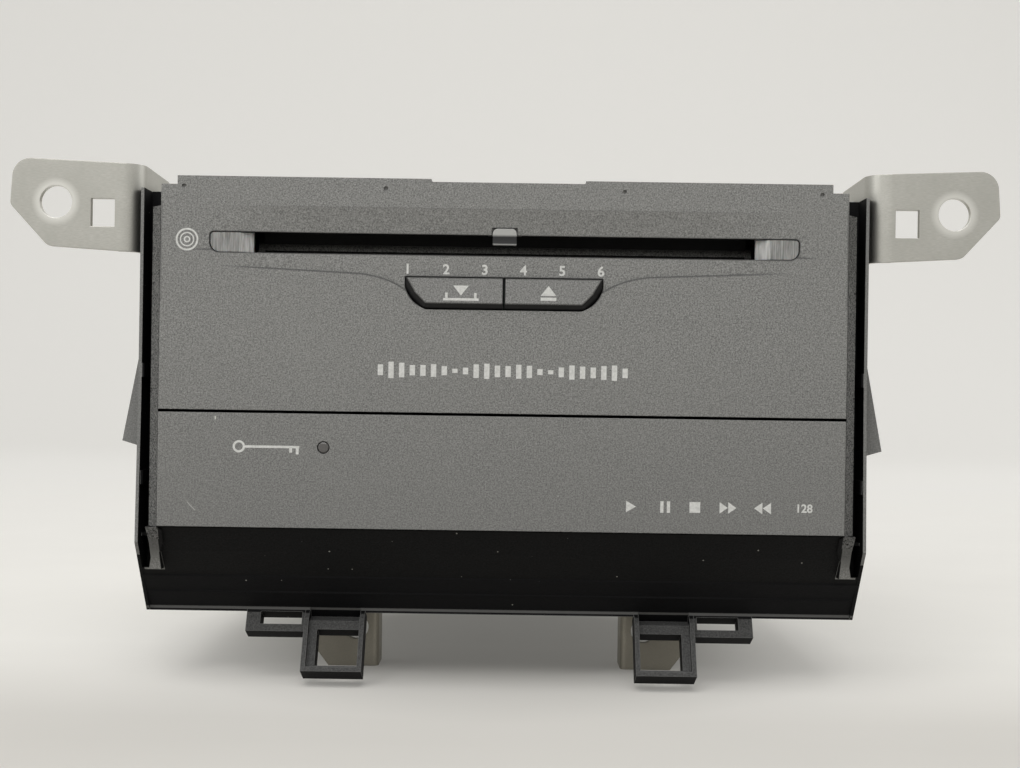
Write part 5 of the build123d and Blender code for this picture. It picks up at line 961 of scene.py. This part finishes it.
bpy.ops.mesh.extrude_region_move(TRANSFORM_OT_translate={"value": (0, 0, WALL_H)})
bpy.ops.object.mode_set(mode="OBJECT")
sheet.name = "backdrop_sheet"
sheet.data.shade_smooth()
sheet.data.materials.append(pale_sheet())

ROOM = colour("#e4e3e0")
ROOM_LIGHT, ROOM_SEEN = 0.5, 1.0
world = bpy.data.worlds.new("pale_room")
bpy.context.scene.world = world
world.use_nodes = True
world_tree = world.node_tree
room = world_tree.nodes["Background"]
room.inputs["Color"].default_value = ROOM
room.inputs["Strength"].default_value = ROOM_LIGHT
seen = add_node(world_tree, "ShaderNodeBackground", {"Color": ROOM, "Strength": ROOM_SEEN})
mixed = add_node(
    world_tree, "ShaderNodeMixShader", {},
    {0: seen_directly(world_tree), 1: room.outputs[0], 2: seen.outputs[0]},
)
world_tree.links.new(mixed.outputs[0], world_tree.nodes["World Output"].inputs["Surface"])


def soft_lamp(name, place, aim, size, power):
    """Large square softbox that points at a place."""
    bpy.ops.object.select_all(action="DESELECT")
    bpy.ops.object.light_add(type="AREA", location=place)
    lamp = bpy.context.object
    lamp.name = name
    lamp.data.size = size
    lamp.data.energy = power
    lamp.rotation_euler = (Vector(aim) - Vector(place)).to_track_quat("-Z", "Y").to_euler()


CENTRE = (0.0, 0.05, -0.05)
soft_lamp("window_above", (-0.15, -0.6, 0.85), CENTRE, 0.9, 8.5)
soft_lamp("room_left", (-1.5, -0.6, 0.5), CENTRE, 1.0, 4.0)
soft_lamp("room_right", (1.5, 0.6, 0.7), CENTRE, 1.0, 4.0)

VIEW_DISTANCE = 340 * MM
FACE_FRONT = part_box("upper_face_panel")[0].y
EYE_X, EYE_Z = 1.8 * MM, -43.4 * MM
ROLL = math.radians(-0.85)
SENSOR_W = 36.0
LENS_LENGTH = 49.44
bpy.ops.object.select_all(action="DESELECT")
bpy.ops.object.camera_add(location=(0, 0, 0))
camera = bpy.context.object
camera.name = "photo_view"
camera.data.sensor_width = SENSOR_W
camera.data.lens = LENS_LENGTH
camera.data.clip_start = 0.01
camera.matrix_world = (
    Matrix.Translation((EYE_X, FACE_FRONT - VIEW_DISTANCE, EYE_Z))
    @ Matrix.Rotation(ROLL, 4, "Y")
    @ Matrix.Rotation(math.pi / 2, 4, "X")
)
bpy.context.scene.camera = camera
bpy.context.scene.view_settings.view_transform = "Standard"
